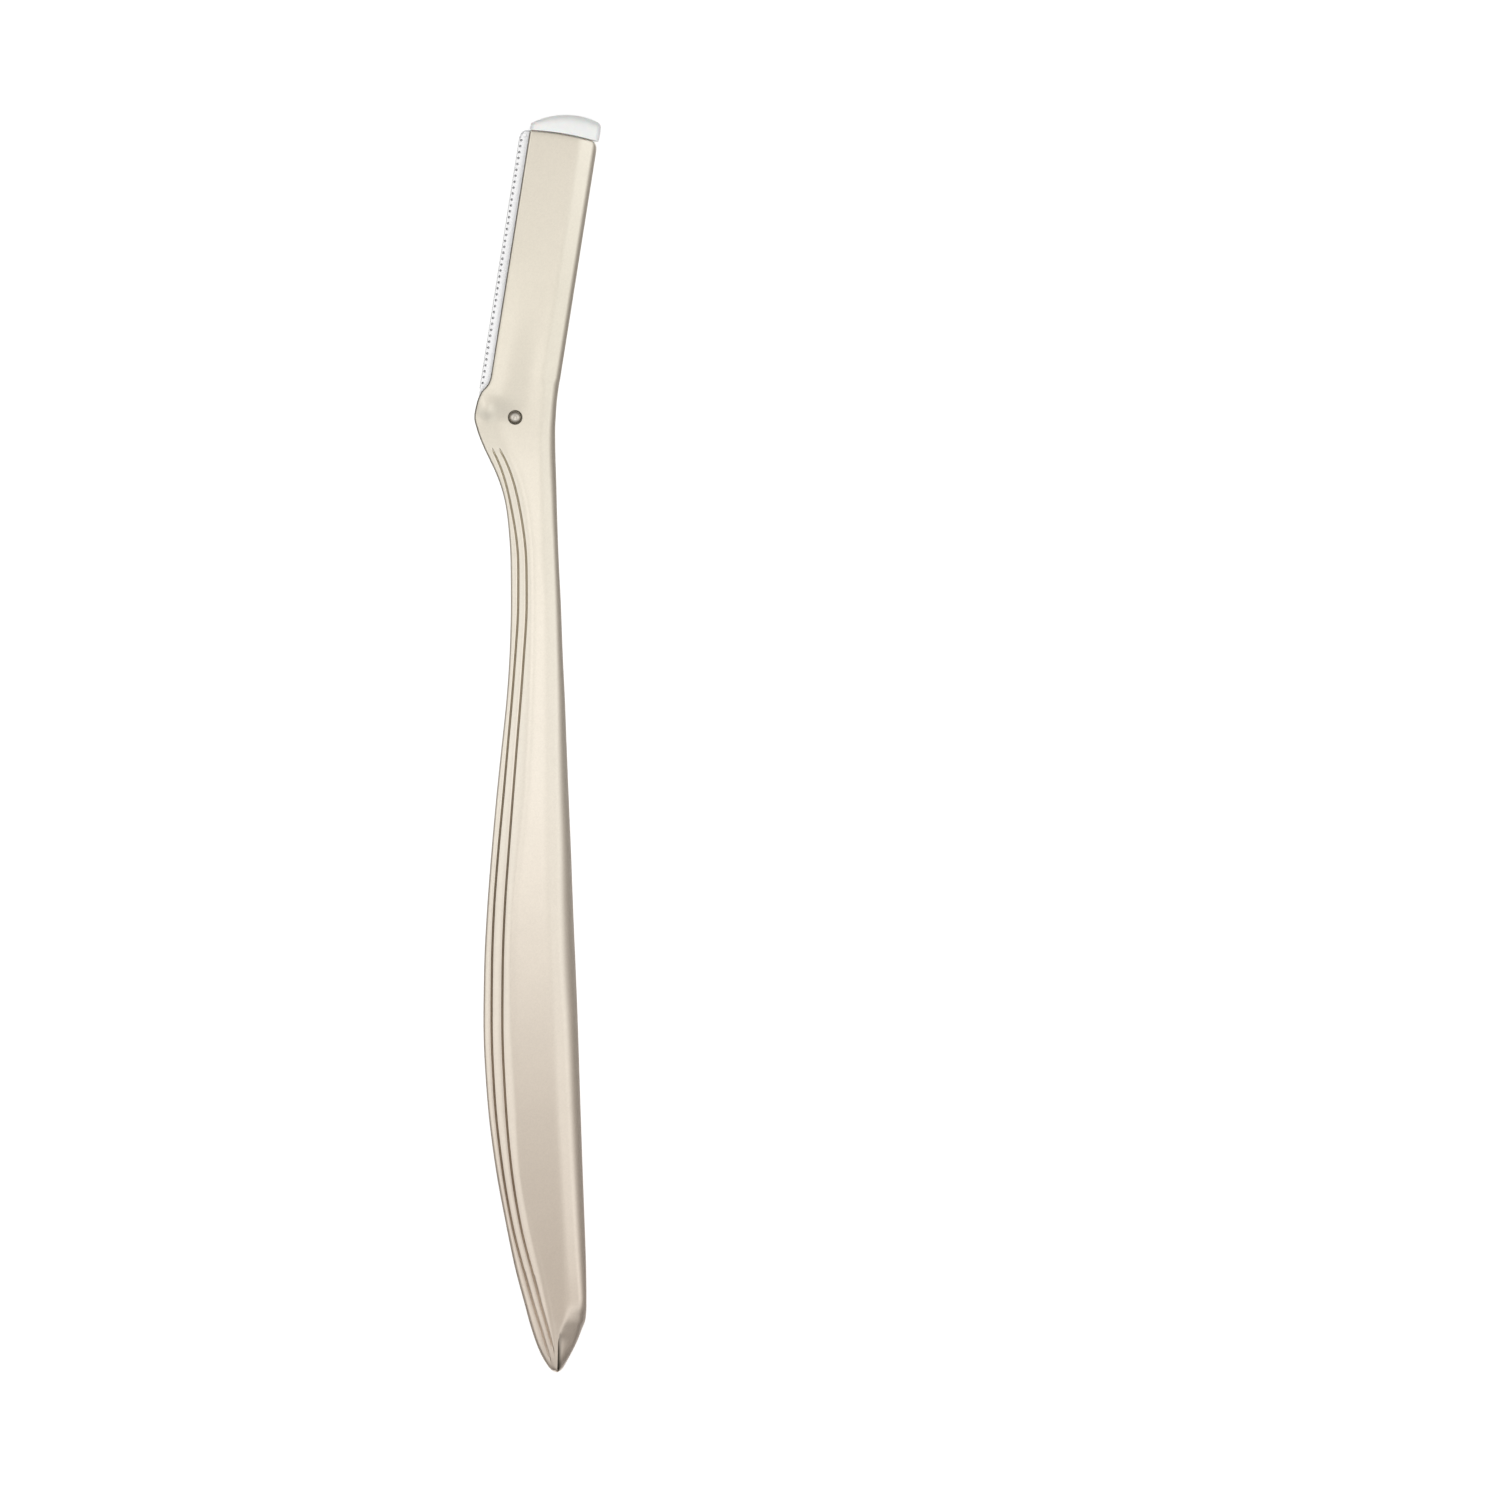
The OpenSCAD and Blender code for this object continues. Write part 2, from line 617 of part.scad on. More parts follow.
module stop_pin() {
    color([0.7, 0.7, 0.72])
    at_pivot() at_stop() translate([0, 0, parting_z - stop_pin_len / 2])
        cylinder(r = stop_pin_d / 2, h = stop_pin_len);
}

// Places of the clamp's rivets, from the lower end of the clamp to its upper end
module at_rivets() {
    from_u = blade_start + rivet_inset;
    to_u = blade_start + blade_len - rivet_inset;
    for (i = [0 : rivet_count - 1]) {
        translate([rivet_v, from_u + (to_u - from_u) * i / (rivet_count - 1), 0]) children();
    }
}

module rivet_holes() {
    at_rivets() translate([0, 0, -over]) cylinder(r = rivet_d / 2 + fit_gap, h = grip_t + 2 * over);
}

// Full-depth part of the carrier: hub, shoulder under the guards and rib along the spine
module carrier_core_outline() {
    far = head_r + over;
    circle(r = hub_r);
    polygon([
        [0, 0],
        [-shoulder_v, shoulder_v / tan(shoulder_deg)],
        [-shoulder_v, shoulder_v / tan(shoulder_deg) + shoulder_h],
        [rib_v0, guard_start - 2 * fit_gap]
    ]);
    intersection() {
        polygon([
            [rib_v0, 0],
            [rib_foot_v, rib_foot_u],
            [rib_v1, rib_side_u],
            [rib_v1, far],
            [rib_v0, far]
        ]);
        circle(r = carrier_end_r, $fn = 180);
    }
}

// Thin cheek that backs the blade between its guards
module carrier_cheek_outline() {
    intersection() {
        translate([cheek_v0, guard_start]) square([rib_v0 - cheek_v0 + fit_gap, head_r]);
        circle(r = carrier_end_r, $fn = 180);
    }
}

module tongue_outline(gap) {
    intersection() {
        translate([tongue_v0 - gap, carrier_end_r - tongue_len])
            square([tongue_w + 2 * gap, 2 * tongue_len + over]);
        circle(r = carrier_end_r + tongue_len + gap, $fn = 180);
    }
}

module blade_carrier() {
    color([0.94, 0.94, 0.93])
    at_pivot() in_head() difference() {
        union() {
            plate(carrier_bottom, carrier_top) carrier_core_outline();
            plate(carrier_bottom, guard_bottom) carrier_cheek_outline();
            plate(parting_z - tongue_t / 2, parting_z + tongue_t / 2) tongue_outline(0);
        }
        translate([0, 0, -over]) cylinder(r = bush_d / 2 + fit_gap, h = grip_t + 2 * over);
        rivet_holes();
    }
}

module carrier_bush() {
    color([0.8, 0.66, 0.36])
    at_pivot() translate([0, 0, carrier_bottom]) difference() {
        cylinder(r = bush_d / 2, h = carrier_t);
        translate([0, 0, -over]) cylinder(r = pin_r + run_gap, h = carrier_t + 2 * over);
    }
}

module blade() {
    color([0.75, 0.76, 0.79])
    at_pivot() in_head() difference() {
        translate([0, blade_start + blade_len, 0]) rotate([90, 0, 0]) linear_extrude(height = blade_len)
            polygon([
                [-blade_v, parting_z],
                [-blade_v + grind_w, blade_top],
                [stack_v1 - fit_gap, blade_top],
                [stack_v1 - fit_gap, blade_bottom],
                [-blade_v + grind_w, blade_bottom]
            ]);
        rivet_holes();
    }
}

// One guard strip in plan, with its row of small windows and its eyelet at the top
module guard_outline() {
    count = floor((blade_len - window_start) / window_pitch) + 1;
    first_u = blade_start + window_start;
    inner_v = stack_v1 - 3 * fit_gap;
    difference() {
        polygon([
            [-guard_v, guard_start],
            [-guard_foot_v, guard_start],
            [-guard_neck_v, blade_start],
            [inner_v, blade_start],
            [inner_v, guard_end],
            for (a = [90 : 15 : 180])
                [guard_corner * (1 + cos(a)) - guard_v, guard_end - guard_corner * (1 - sin(a))]
        ]);
        for (i = [0 : count - 1]) {
            translate([window_inset - guard_v, first_u + i * window_pitch])
                circle(d = window_d, $fn = 16);
        }
        translate([eyelet_v_inset - guard_v, guard_end - eyelet_u_inset])
            circle(d = eyelet_d, $fn = 24);
    }
}

module front_guard() {
    color([0.93, 0.93, 0.95])
    at_pivot() in_head() difference() {
        plate(blade_top, guard_top) guard_outline();
        rivet_holes();
    }
}

module back_guard() {
    color([0.93, 0.93, 0.95])
    at_pivot() in_head() difference() {
        plate(guard_bottom, blade_bottom) guard_outline();
        rivet_holes();
    }
}

module clamp_plate() {
    color([0.66, 0.67, 0.7])
    at_pivot() in_head() difference() {
        plate(guard_top, clamp_top)
            translate([clamp_v0, blade_start + clamp_inset])
                square([stack_v1 - clamp_v0, blade_len - 2 * clamp_inset]);
        rivet_holes();
    }
}

module clamp_rivets() {
    color([0.7, 0.7, 0.72])
    at_pivot() in_head() at_rivets() union() {
        translate([0, 0, carrier_bottom]) cylinder(r = rivet_d / 2, h = carrier_t);
        translate([0, 0, clamp_top]) cylinder(r = rivet_head_d / 2, h = carrier_top - clamp_top);
    }
}

// Disc with a rounded rim, centred on its own middle height
module crown_disc() {
    flat = crown_r - tab_round;
    h = tab_t / 2 - tab_round;
    rotate_extrude($fn = 180) {
        translate([0, -tab_t / 2]) square([flat, tab_t]);
        translate([0, -h]) square([crown_r, 2 * h]);
        translate([flat, h]) intersection() {
            circle(r = tab_round);
            square(tab_round);
        }
        translate([flat, -h]) intersection() {
            circle(r = tab_round);
            translate([0, -tab_round]) square(tab_round);
        }
    }
}

module thumb_tab() {
    color([0.95, 0.95, 0.94])
    at_pivot() in_head() difference() {
        intersection() {
            translate([crown_v, crown_u, parting_z]) crown_disc();
            plate(0, grip_t) translate([-slot_side_w, head_r * cos(end_cut_deg)])
                square([slot_side_w + tab_right_v, head_r]);
        }
        translate([0, 0, -over]) cylinder(r = head_r + swing_gap, h = grip_t + 2 * over, $fn = 360);
        plate(parting_z - tongue_t / 2 - fit_gap, parting_z + tongue_t / 2 + fit_gap) tongue_outline(fit_gap);
    }
}

front_shell();
back_shell();
stiffening_bar();
locating_dowels();
pivot_pin();
pivot_cap();
pivot_washers();
click_spring();
spring_pin();
stop_pin();
blade_carrier();
carrier_bush();
blade();
front_guard();
back_guard();
clamp_plate();
clamp_rivets();
thumb_tab();
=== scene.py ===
import bmesh
import bpy
import json
import math
import numpy as np
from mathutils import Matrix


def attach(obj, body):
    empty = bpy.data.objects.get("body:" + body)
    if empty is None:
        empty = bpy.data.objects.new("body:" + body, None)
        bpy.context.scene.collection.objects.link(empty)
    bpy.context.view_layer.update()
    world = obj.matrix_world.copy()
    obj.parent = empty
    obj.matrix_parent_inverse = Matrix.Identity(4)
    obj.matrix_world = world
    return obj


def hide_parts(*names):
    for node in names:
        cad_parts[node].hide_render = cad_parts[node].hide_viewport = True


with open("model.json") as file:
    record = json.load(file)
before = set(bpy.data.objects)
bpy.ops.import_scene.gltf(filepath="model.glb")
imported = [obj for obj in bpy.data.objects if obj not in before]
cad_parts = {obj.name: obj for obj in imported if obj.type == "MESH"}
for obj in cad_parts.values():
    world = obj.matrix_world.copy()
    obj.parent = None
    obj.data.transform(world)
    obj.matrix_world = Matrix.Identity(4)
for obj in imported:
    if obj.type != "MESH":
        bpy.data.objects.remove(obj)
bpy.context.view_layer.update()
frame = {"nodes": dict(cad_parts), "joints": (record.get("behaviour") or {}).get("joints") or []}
print("frame loaded:", len(frame["nodes"]), "nodes")

# All shapes are worked out in mm about the hinge axis and the parting plane, then moved to their place
hinge = np.array(frame["joints"][0]["pos_m"]) * 1000
headTilt = math.radians(9)
headRadius = 33.5


def toLinear(hexColour):
    value = np.array([int(hexColour[i:i + 2], 16) for i in (1, 3, 5)]) / 255
    value = np.where(value <= 0.04045, value / 12.92, ((value + 0.055) / 1.055) ** 2.4)
    return (*value.tolist(), 1.0)


def addNode(tree, kind, settings=None, links=None):
    node = tree.nodes.new("ShaderNode" + kind)
    for key, value in (settings or {}).items():
        if isinstance(key, str) and hasattr(node, key):
            setattr(node, key, value)
        else:
            node.inputs[key].default_value = value
    for key, source in (links or {}).items():
        tree.links.new(source, node.inputs[key])
    return node


def emptyTree(owner):
    owner.use_nodes = True
    owner.node_tree.nodes.clear()
    return owner.node_tree


def newObject(name, data):
    made = bpy.data.objects.new(name, data)
    bpy.context.scene.collection.objects.link(made)
    return made


def roundAngles(n):
    return np.linspace(0, 2 * math.pi, n + 1)[:-1]


# Points in mm about the hinge become a mesh in metres in the frame; turned flips the faces
def makeMesh(name, points, faces, turned=False):
    mesh = bpy.data.meshes.new(name)
    placed = (np.asarray(points).reshape(-1, 3) + hinge) / 1000
    loops = [list(reversed(f)) for f in faces] if turned else [list(f) for f in faces]
    mesh.from_pydata(placed.tolist(), [], loops)
    mesh.validate()
    return newObject(name, mesh)


# Faces of a grid of rows by columns; the columns can close into a ring
def gridFaces(rows, columns, ring=True):
    r, c = np.meshgrid(np.arange(rows - 1), np.arange(columns if ring else columns - 1), indexing="ij")
    n = (c + 1) % columns
    quads = np.stack([r * columns + c, r * columns + n, (r + 1) * columns + n, (r + 1) * columns + c], -1)
    return quads.reshape(-1, 4).tolist()


def smoothByAngle(piece, degrees):
    piece.data.shade_smooth()
    piece.data.set_sharp_from_angle(angle=math.radians(degrees))


def applyModifiers(piece):
    done = bpy.data.meshes.new_from_object(piece.evaluated_get(bpy.context.evaluated_depsgraph_get()))
    piece.modifiers.clear()
    piece.data = done


def cutWith(piece, cutter):
    cut = piece.modifiers.new("cut", "BOOLEAN")
    cut.operation = "DIFFERENCE"
    cut.solver = "EXACT"
    cut.object = cutter
    bpy.context.view_layer.update()
    applyModifiers(piece)
    bpy.data.objects.remove(cutter)


def wear(piece, material):
    if piece.material_slots:
        for slot in piece.material_slots:
            slot.material = material
    else:
        piece.data.materials.append(material)


# The shells of the handle. Rows run from the tip to the knuckle, and each holds: its place along the handle, as
# a share of the length; the left edge, outer groove, inner groove, panel's left and right edges and right edge,
# as shares of the grip's width; the front panel, back panel, left and right shoulders, as shares of half the
# thickness; the share of the groove's depth; and the rounding of the right edge, as a share of the width
handleRows = np.array([
    [-1, 0.428, 0.433, 0.437, 0.441, 0.445, 0.454, 0.38, 0.36, 0.3, 0.22, 0, 0.011],
    [-0.998, 0.386, 0.408, 0.424, 0.436, 0.445, 0.489, 0.44, 0.44, 0.36, 0.23, 0, 0.013],
    [-0.992, 0.336, 0.38, 0.416, 0.436, 0.448, 0.529, 0.52, 0.54, 0.42, 0.25, 0, 0.018],
    [-0.983, 0.281, 0.358, 0.414, 0.44, 0.451, 0.58, 0.61, 0.64, 0.48, 0.28, 0.5, 0.025],
    [-0.97, 0.225, 0.318, 0.385, 0.436, 0.454, 0.647, 0.7, 0.74, 0.54, 0.33, 1, 0.04],
    [-0.956, 0.177, 0.276, 0.348, 0.412, 0.484, 0.704, 0.78, 0.82, 0.58, 0.42, 1, 0.063],
    [-0.945, 0.144, 0.241, 0.316, 0.389, 0.526, 0.745, 0.83, 0.88, 0.6, 0.51, 1, 0.075],
    [-0.938, 0.125, 0.219, 0.296, 0.376, 0.536, 0.752, 0.85, 0.91, 0.61, 0.6, 1, 0.079],
    [-0.933, 0.112, 0.204, 0.281, 0.367, 0.539, 0.755, 0.86, 0.93, 0.62, 0.675, 1, 0.082],
    [-0.922, 0.082, 0.171, 0.253, 0.344, 0.536, 0.755, 0.87, 0.95, 0.63, 0.74, 1, 0.086],
    [-0.892, 0, 0.087, 0.174, 0.279, 0.523, 0.752, 0.91, 1, 0.65, 0.74, 1, 0.105],
    [-0.851, -0.086, -0.021, 0.066, 0.176, 0.502, 0.738, 0.95, 1, 0.67, 0.76, 1, 0.12],
    [-0.783, -0.213, -0.141, -0.045, 0.062, 0.465, 0.713, 0.98, 1, 0.68, 0.77, 1, 0.133],
    [-0.711, -0.299, -0.219, -0.106, 0.028, 0.424, 0.688, 1, 1, 0.68, 0.77, 1, 0.144],
    [-0.636, -0.337, -0.25, -0.136, -0.018, 0.385, 0.664, 1, 1, 0.68, 0.77, 1, 0.157],
    [-0.575, -0.329, -0.246, -0.132, -0.029, 0.359, 0.64, 1, 1, 0.68, 0.77, 1, 0.177],
    [-0.518, -0.3, -0.226, -0.112, -0.011, 0.337, 0.615, 1, 1, 0.69, 0.77, 1, 0.168],
    [-0.454, -0.251, -0.178, -0.068, 0.056, 0.325, 0.591, 0.98, 1, 0.7, 0.77, 1, 0.148],
    [-0.396, -0.198, -0.124, -0.023, 0.125, 0.322, 0.566, 0.97, 1, 0.7, 0.77, 1, 0.135],
    [-0.342, -0.141, -0.076, 0.02, 0.157, 0.322, 0.544, 0.95, 1, 0.71, 0.77, 1, 0.121],
    [-0.294, -0.09, -0.033, 0.06, 0.178, 0.322, 0.526, 0.94, 1, 0.71, 0.77, 1, 0.102],
    [-0.246, -0.058, 0.004, 0.095, 0.189, 0.322, 0.502, 0.92, 1, 0.71, 0.77, 1, 0.085],
    [-0.198, -0.045, 0.033, 0.123, 0.194, 0.32, 0.485, 0.91, 1, 0.71, 0.76, 1, 0.077],
    [-0.149, -0.048, 0.034, 0.119, 0.189, 0.29, 0.46, 0.9, 1, 0.71, 0.75, 1, 0.068],
    [-0.113, -0.072, -0.006, 0.081, 0.162, 0.282, 0.447, 0.89, 0.99, 0.71, 0.74, 1, 0.072],
    [-0.09, -0.1, -0.051, 0.038, 0.13, 0.277, 0.44, 0.88, 0.98, 0.7, 0.72, 1, 0.074],
    [-0.066, -0.169, -0.103, -0.017, 0.072, 0.274, 0.435, 0.87, 0.96, 0.69, 0.7, 1, 0.077],
    [-0.045, -0.268, -0.185, -0.103, -0.013, 0.267, 0.427, 0.853, 0.92, 0.68, 0.68, 0.9, 0.079],
    [-0.029, -0.344, -0.262, -0.187, -0.098, 0.263, 0.424, 0.825, 0.875, 0.67, 0.66, 0, 0.081],
    [-0.013, -0.404, -0.326, -0.246, -0.161, 0.26, 0.423, 0.789, 0.82, 0.66, 0.64, 0, 0.081],
    [0, -0.433, -0.352, -0.267, -0.177, 0.263, 0.429, 0.758, 0.775, 0.66, 0.62, 0, 0.079],
    [0.015, -0.407, -0.331, -0.246, -0.161, 0.274, 0.439, 0.728, 0.735, 0.66, 0.59, 0, 0.077],
    [0.026, -0.362, -0.289, -0.214, -0.129, 0.284, 0.452, 0.711, 0.713, 0.67, 0.56, 0, 0.076],
    [0.035, -0.285, -0.225, -0.161, -0.087, 0.295, 0.465, 0.703, 0.703, 0.69, 0.53, 0, 0.075]
])

shell = {
    "length": 111.4,
    "gripWidth": 11.0,
    "halfThickness": 3.0,
    "headStart": 0.043 * 111.4,
    "headHalfThickness": 2.1,
    "headLines": (0.2, 0.45, 0.7),      # where the grooves' and panel's lines run on, from slot edge to bevel
    "slotSide": 3.55,      # hinge line to slot edge
    "spineSide": 4.47,     # hinge line to spine
    "bevelWidth": 2.15,
    "bevelDrop": 0.58,
    "leftRound": [(-95, 0.4), (-80, 0.24), (-12, 0.24), (-2, 0.35)],      # radius at places along y
    "rightRoundLimit": 0.7,      # of the room beside the panel
    "edgeLean": 42,        # degrees from level at which the rounded long edges meet the walls
    "edgeTurn": 0.5,       # share of the rounding that turns at that lean
    "spineRound": 0.7,
    "seam": 0.07,          # small chamfer that shows the parting line
    "facetBlend": 0.13,    # how softly one facet runs into the next
    "blendLimit": 0.05,    # of the shell's width there
    "ribCrown": 0.05,      # rise of the strips between the grooves
    # painted shade along the left edge, at places along y, fading over the points of the ring
    "edgeShade": [(-25, 0), (-15, 0.1), (-5, 0.25), (-1, 0.5), (2, 0.65)],
    "edgeShadeFade": (8, 12),      # points of the ring, from the seam up
    "endRound": 0.22,
    "spineCorner": 0.9,
    "slotCorner": 0.25,
    "smoothAngle": 32,     # degrees between faces up to which they are shaded as one
}

# The two grooves. The shares are of the depth, at places along y; painted shade darkens the coat in them
groove = {
    "halfWidth": 0.14,
    "gapShare": 0.4,       # widest, of the gap between the two
    "depth": 0.28,
    "haste": 1.8,          # how fast they come in at their ends
    "bellPower": 0.8,
    "lipWidth": 0.36,      # soft edge to the left of each groove
    "lipShare": 0.18,      # of the groove's depth
    "outerShare": [(-109, 0.3), (-103, 0.5), (-97, 0.75), (-90, 1), (-33, 1), (-12, 0.8), (-5, 0.7)],
    "innerShare": [(-109.2, 0), (-107.6, 0.4), (-103, 0.5), (-97, 0.75), (-90, 1), (-33, 1), (-12, 0.8),
                   (-5, 0.7)],
    # painted shade in the grooves, as shares at places along y, and how far it reaches in half widths
    "shadeAmount": [(-104, 0), (-97, 0.04), (-88, 0.07), (-76, 0.07), (-62, 0.2), (-50, 0.2), (-33, 0.08),
             (-17, 0.07), (-8, 0.08)],
    "shadeReach": 1.15,     # half widths
}

# The crease at the right of the tip's ridge, darkened with painted shade, most at the very tip
crease = {
    "start": -106.9,       # places along y
    "full": -109.6,
    "depth": 0.4,
    "width": 0.45,
    "rise": 0.06,          # width of its steep side
    "room": 0.8,           # width of the facet at which it is full
    # painted shade in the crease: full over a flat part, then fading out to the right; then its share along y
    "shadeFlat": 0.1,
    "shadeFade": 0.45,
    "shadeAmount": [(-110.6, 1), (-109.6, 0.87), (-109, 0.85)],
}

# Rows and columns of the shells' grid
grid = {
    "columns": [7, 12, 7, 12, 8, 14, 4, 12],      # between the key lines, left to right
    "ridge": 0.12,         # width of the close columns beside the panel's right edge
    "grooveRoom": 0.9,     # of the way to the left edge: the most that a groove's half width may take
    "leftEdge": 11,
    "rightEdge": 13,
    "wall": 6,
    "tipRows": 34,
    "tipLength": 8.0,
    "tipBunch": 1.6,       # how much closer the rows are at the very tip
    "afterTip": 0.3,
    "rowStep": 0.42,
    "knuckle": -8.0,       # from here up the rows are closer
    "knuckleStep": 0.16,
    "headRows": 62,
    "endRows": 7,
    "endWallRows": 5,
}


# Row of the head where the handle runs into it
def headRow(y):
    across = lambda v: (v + y * math.sin(headTilt)) / math.cos(headTilt)
    left, right = across(-shell["slotSide"]), across(shell["spineSide"])
    panel = across(shell["spineSide"] - shell["bevelWidth"])
    lines = [left + share * (panel - left) for share in shell["headLines"]]
    h = shell["headHalfThickness"]
    return [y, left, *lines, panel, right, h, h, h, h - shell["bevelDrop"], 0, shell["spineRound"]]


def easeIn(t):
    t = np.clip(t, 0, 1)
    return t * t * (3 - 2 * t)


def alongY(places, y):
    return np.interp(y, [p[0] for p in places], [p[1] for p in places])


def handleTable():
    width, height = shell["gripWidth"], shell["halfThickness"]
    unit = np.array([shell["length"]] + [width] * 6 + [height] * 4 + [groove["depth"], width])
    return np.vstack([handleRows * unit, headRow(shell["headStart"])])


# Each column of the table as a curve along y: cubic pieces whose slope at a row is the harmonic mean of the
# slopes on both sides, and zero where the column turns, so that no curve runs past its rows. At the last row
# the lines lean as the head does and the heights are level.
def alongHandle(table, y):
    place = table[:, 0]
    gap = np.diff(place)[:, None]
    rise = np.diff(table, axis=0) / gap
    before, after = rise[:-1], rise[1:]
    both = before * after
    inner = np.where(both > 0, 2 * both / np.where(both > 0, before + after, 1), 0)
    intoHead = np.zeros((1, table.shape[1]))
    intoHead[:, 1:7] = math.tan(headTilt)
    slope = np.vstack([rise[:1], inner, intoHead])
    i = np.clip(np.searchsorted(place, y, side="right") - 1, 0, len(place) - 2)
    h = gap[i]
    t = ((y - place[i]) / gap[i, 0])[:, None]
    return ((2 * t ** 3 - 3 * t ** 2 + 1) * table[i] + (t ** 3 - 2 * t ** 2 + t) * h * slope[i]
            + (3 * t ** 2 - 2 * t ** 3) * table[i + 1] + (t ** 3 - t ** 2) * h * slope[i + 1])


# The curves evened out along y with a bell-shaped weight, fading to none at the tip and the knuckle
evening = {"width": 1.3, "step": 0.25, "reach": 12, "from": -104, "fadeIn": 6, "to": -4.5, "fadeOut": 3}


def evened(table, y):
    step, reach = evening["step"], evening["reach"]
    fine = np.arange(table[0, 0], table[-1, 0], step)
    bell = np.exp(-(np.arange(-reach, reach + 1) * step / evening["width"]) ** 2 / 2)
    bell /= bell.sum()
    padded = [np.pad(column, reach, mode="edge") for column in alongHandle(table, fine).T]
    eased = np.stack([np.interp(y, fine, np.convolve(column, bell, mode="valid")) for column in padded], 1)
    exact = alongHandle(table, y)
    fromTip = np.clip((y - evening["from"]) / evening["fadeIn"], 0, 1)
    toKnuckle = np.clip((evening["to"] - y) / evening["fadeOut"], 0, 1)
    result = exact + (eased - exact) * easeIn(fromTip * toKnuckle)[:, None]
    result[:, 0] = y
    return result


# Smaller of two heights, rounded where they cross: min(a, b) less (k - |a - b|)^2 / 4k inside the blend
def softMin(a, b, k):
    return np.minimum(a, b) - np.maximum(k - np.abs(a - b), 0) ** 2 / (4 * k)


# Depth of a groove: it comes in quickly at both ends and is less towards the tip and the knuckle
def grooveDepth(rows, name):
    started = easeIn(groove["haste"] * rows[:, 11:12] / groove["depth"])
    return groove["depth"] * started * alongY(groove[name + "Share"], rows[:, :1])


def grooveHalfWidth(rows):
    return np.minimum(groove["halfWidth"], groove["gapShare"] * (rows[:, 3:4] - rows[:, 2:3]))


# Height of the outside over the parting plane at points x of each row: the lower of the left slope, the panel
# and the right slope, plus a parabola on each strip, less both grooves: a cosine bell to a power, and to its
# left a soft lip that falls with the square of the nearness
def outsideHeight(rows, x, side):
    left, outer, inner, panelA, panelB, right = (rows[:, i:i + 1] for i in range(1, 7))
    face = rows[:, 7:8] if side > 0 else rows[:, 8:9]
    lowLeft = np.minimum(rows[:, 9:10], face)
    lowRight = np.minimum(rows[:, 10:11], face)
    k = np.minimum(shell["facetBlend"], shell["blendLimit"] * (right - left))
    leftSlope = lowLeft + (face - lowLeft) * (x - left) / (panelA - left)
    rightSlope = lowRight + (face - lowRight) * (right - x) / (right - panelB)
    flat = np.broadcast_to(face, leftSlope.shape)
    height = softMin(softMin(flat, rightSlope, k), leftSlope, np.clip(face - lowLeft, 1e-9, k))
    share = rows[:, 11:12] / groove["depth"]
    for start, end in ((left, outer), (outer, inner), (inner, panelA)):
        t = np.clip((x - start) / (end - start), 0, 1)
        height = height + share * shell["ribCrown"] * 4 * t * (1 - t)
    halfWidth = grooveHalfWidth(rows)
    for line, name in ((outer, "outer"), (inner, "inner")):
        off = np.abs(x - line)
        bell = (0.5 + 0.5 * np.cos(math.pi * np.clip(off / halfWidth, 0, 1))) ** groove["bellPower"]
        near = np.clip(1 - off / np.where(x < line, groove["lipWidth"], halfWidth), 0, 1)
        height = height - grooveDepth(rows, name) * (bell + groove["lipShare"] * near ** 2)
    return height


# Soft hollow beside the pin, where the round knuckle meets the dished head: a long bell, turned in degrees
valley = {"centre": (-3.35, 0.8), "turn": 16, "along": 1.2, "across": 0.8, "depth": 0.25}


def valleyDepth(x, y):
    dx, dy = x - valley["centre"][0], y - valley["centre"][1]
    c, s = math.cos(math.radians(valley["turn"])), math.sin(math.radians(valley["turn"]))
    along, across = dy * c - dx * s, dx * c + dy * s
    return valley["depth"] * np.exp(-(along / valley["along"]) ** 2 - (across / valley["across"]) ** 2)


# The head is dished towards the slot: from the knuckle its face drops quickly, then climbs back over some way
# up the head, by smooth steps. The dish fades out past the pin. The result is a share of the height.
headDish = {"depth": 0.36, "start": -0.9, "lowest": 2.4, "end": 19.0, "full": -2.2, "edge": 1.6}


def dishShare(x, y):
    v, u = turnToHead(x, y)
    drop = easeIn((u - headDish["start"]) / (headDish["lowest"] - headDish["start"]))
    climb = easeIn((u - headDish["lowest"]) / (headDish["end"] - headDish["lowest"]))
    side = 1 - easeIn((v - headDish["full"]) / (headDish["edge"] - headDish["full"]))
    return headDish["depth"] / shell["headHalfThickness"] * drop * (1 - climb) * side


# x of the columns between both rounded edges: even steps between the key lines, closer in the grooves
def columnPlaces(rows):
    left, outer, inner, panelA, panelB, right = (rows[:, i:i + 1] for i in range(1, 7))
    erL, erR = edgeRounds(rows)
    halfWidth = np.minimum(grooveHalfWidth(rows), grid["grooveRoom"] * (outer - left - erL))
    ridge = np.minimum(grid["ridge"], (right - erR - panelB) / 3)
    stops = [left + erL, outer - halfWidth, outer + halfWidth, inner - halfWidth, inner + halfWidth,
             panelA, panelB, panelB + ridge, right - erR]
    parts = [a + (b - a) * np.arange(n)[None, :] / n for a, b, n in zip(stops[:-1], stops[1:], grid["columns"])]
    return np.hstack(parts + [stops[-1]])


# Radii of the long edges: small on the left, growing to a wide shoulder on the right of the grip
def edgeRounds(rows):
    left = np.minimum(alongY(shell["leftRound"], rows[:, :1]), (rows[:, 2:3] - rows[:, 1:2]) / 2)
    return left, np.minimum(rows[:, 12:13], (rows[:, 6:7] - rows[:, 5:6]) * shell["rightRoundLimit"])


# Share of the crease along y: one less the square of what is still to go
def creaseShare(rows):
    t = np.clip((crease["start"] - rows[:, :1]) / (crease["start"] - crease["full"]), 0, 1)
    return 1 - (1 - t) ** 2


# One-sided groove beside the tip's ridge: a steep side, then a depth that dies away exponentially to the right
def creaseDepth(rows, x):
    past = x - rows[:, 5:6]
    room = np.clip((rows[:, 6:7] - rows[:, 5:6]) / crease["room"], 0, 1)
    rise = np.clip(past / crease["rise"], 0, 1)
    return crease["depth"] * creaseShare(rows) * room * rise * np.exp(-np.maximum(past, 0) / crease["width"])
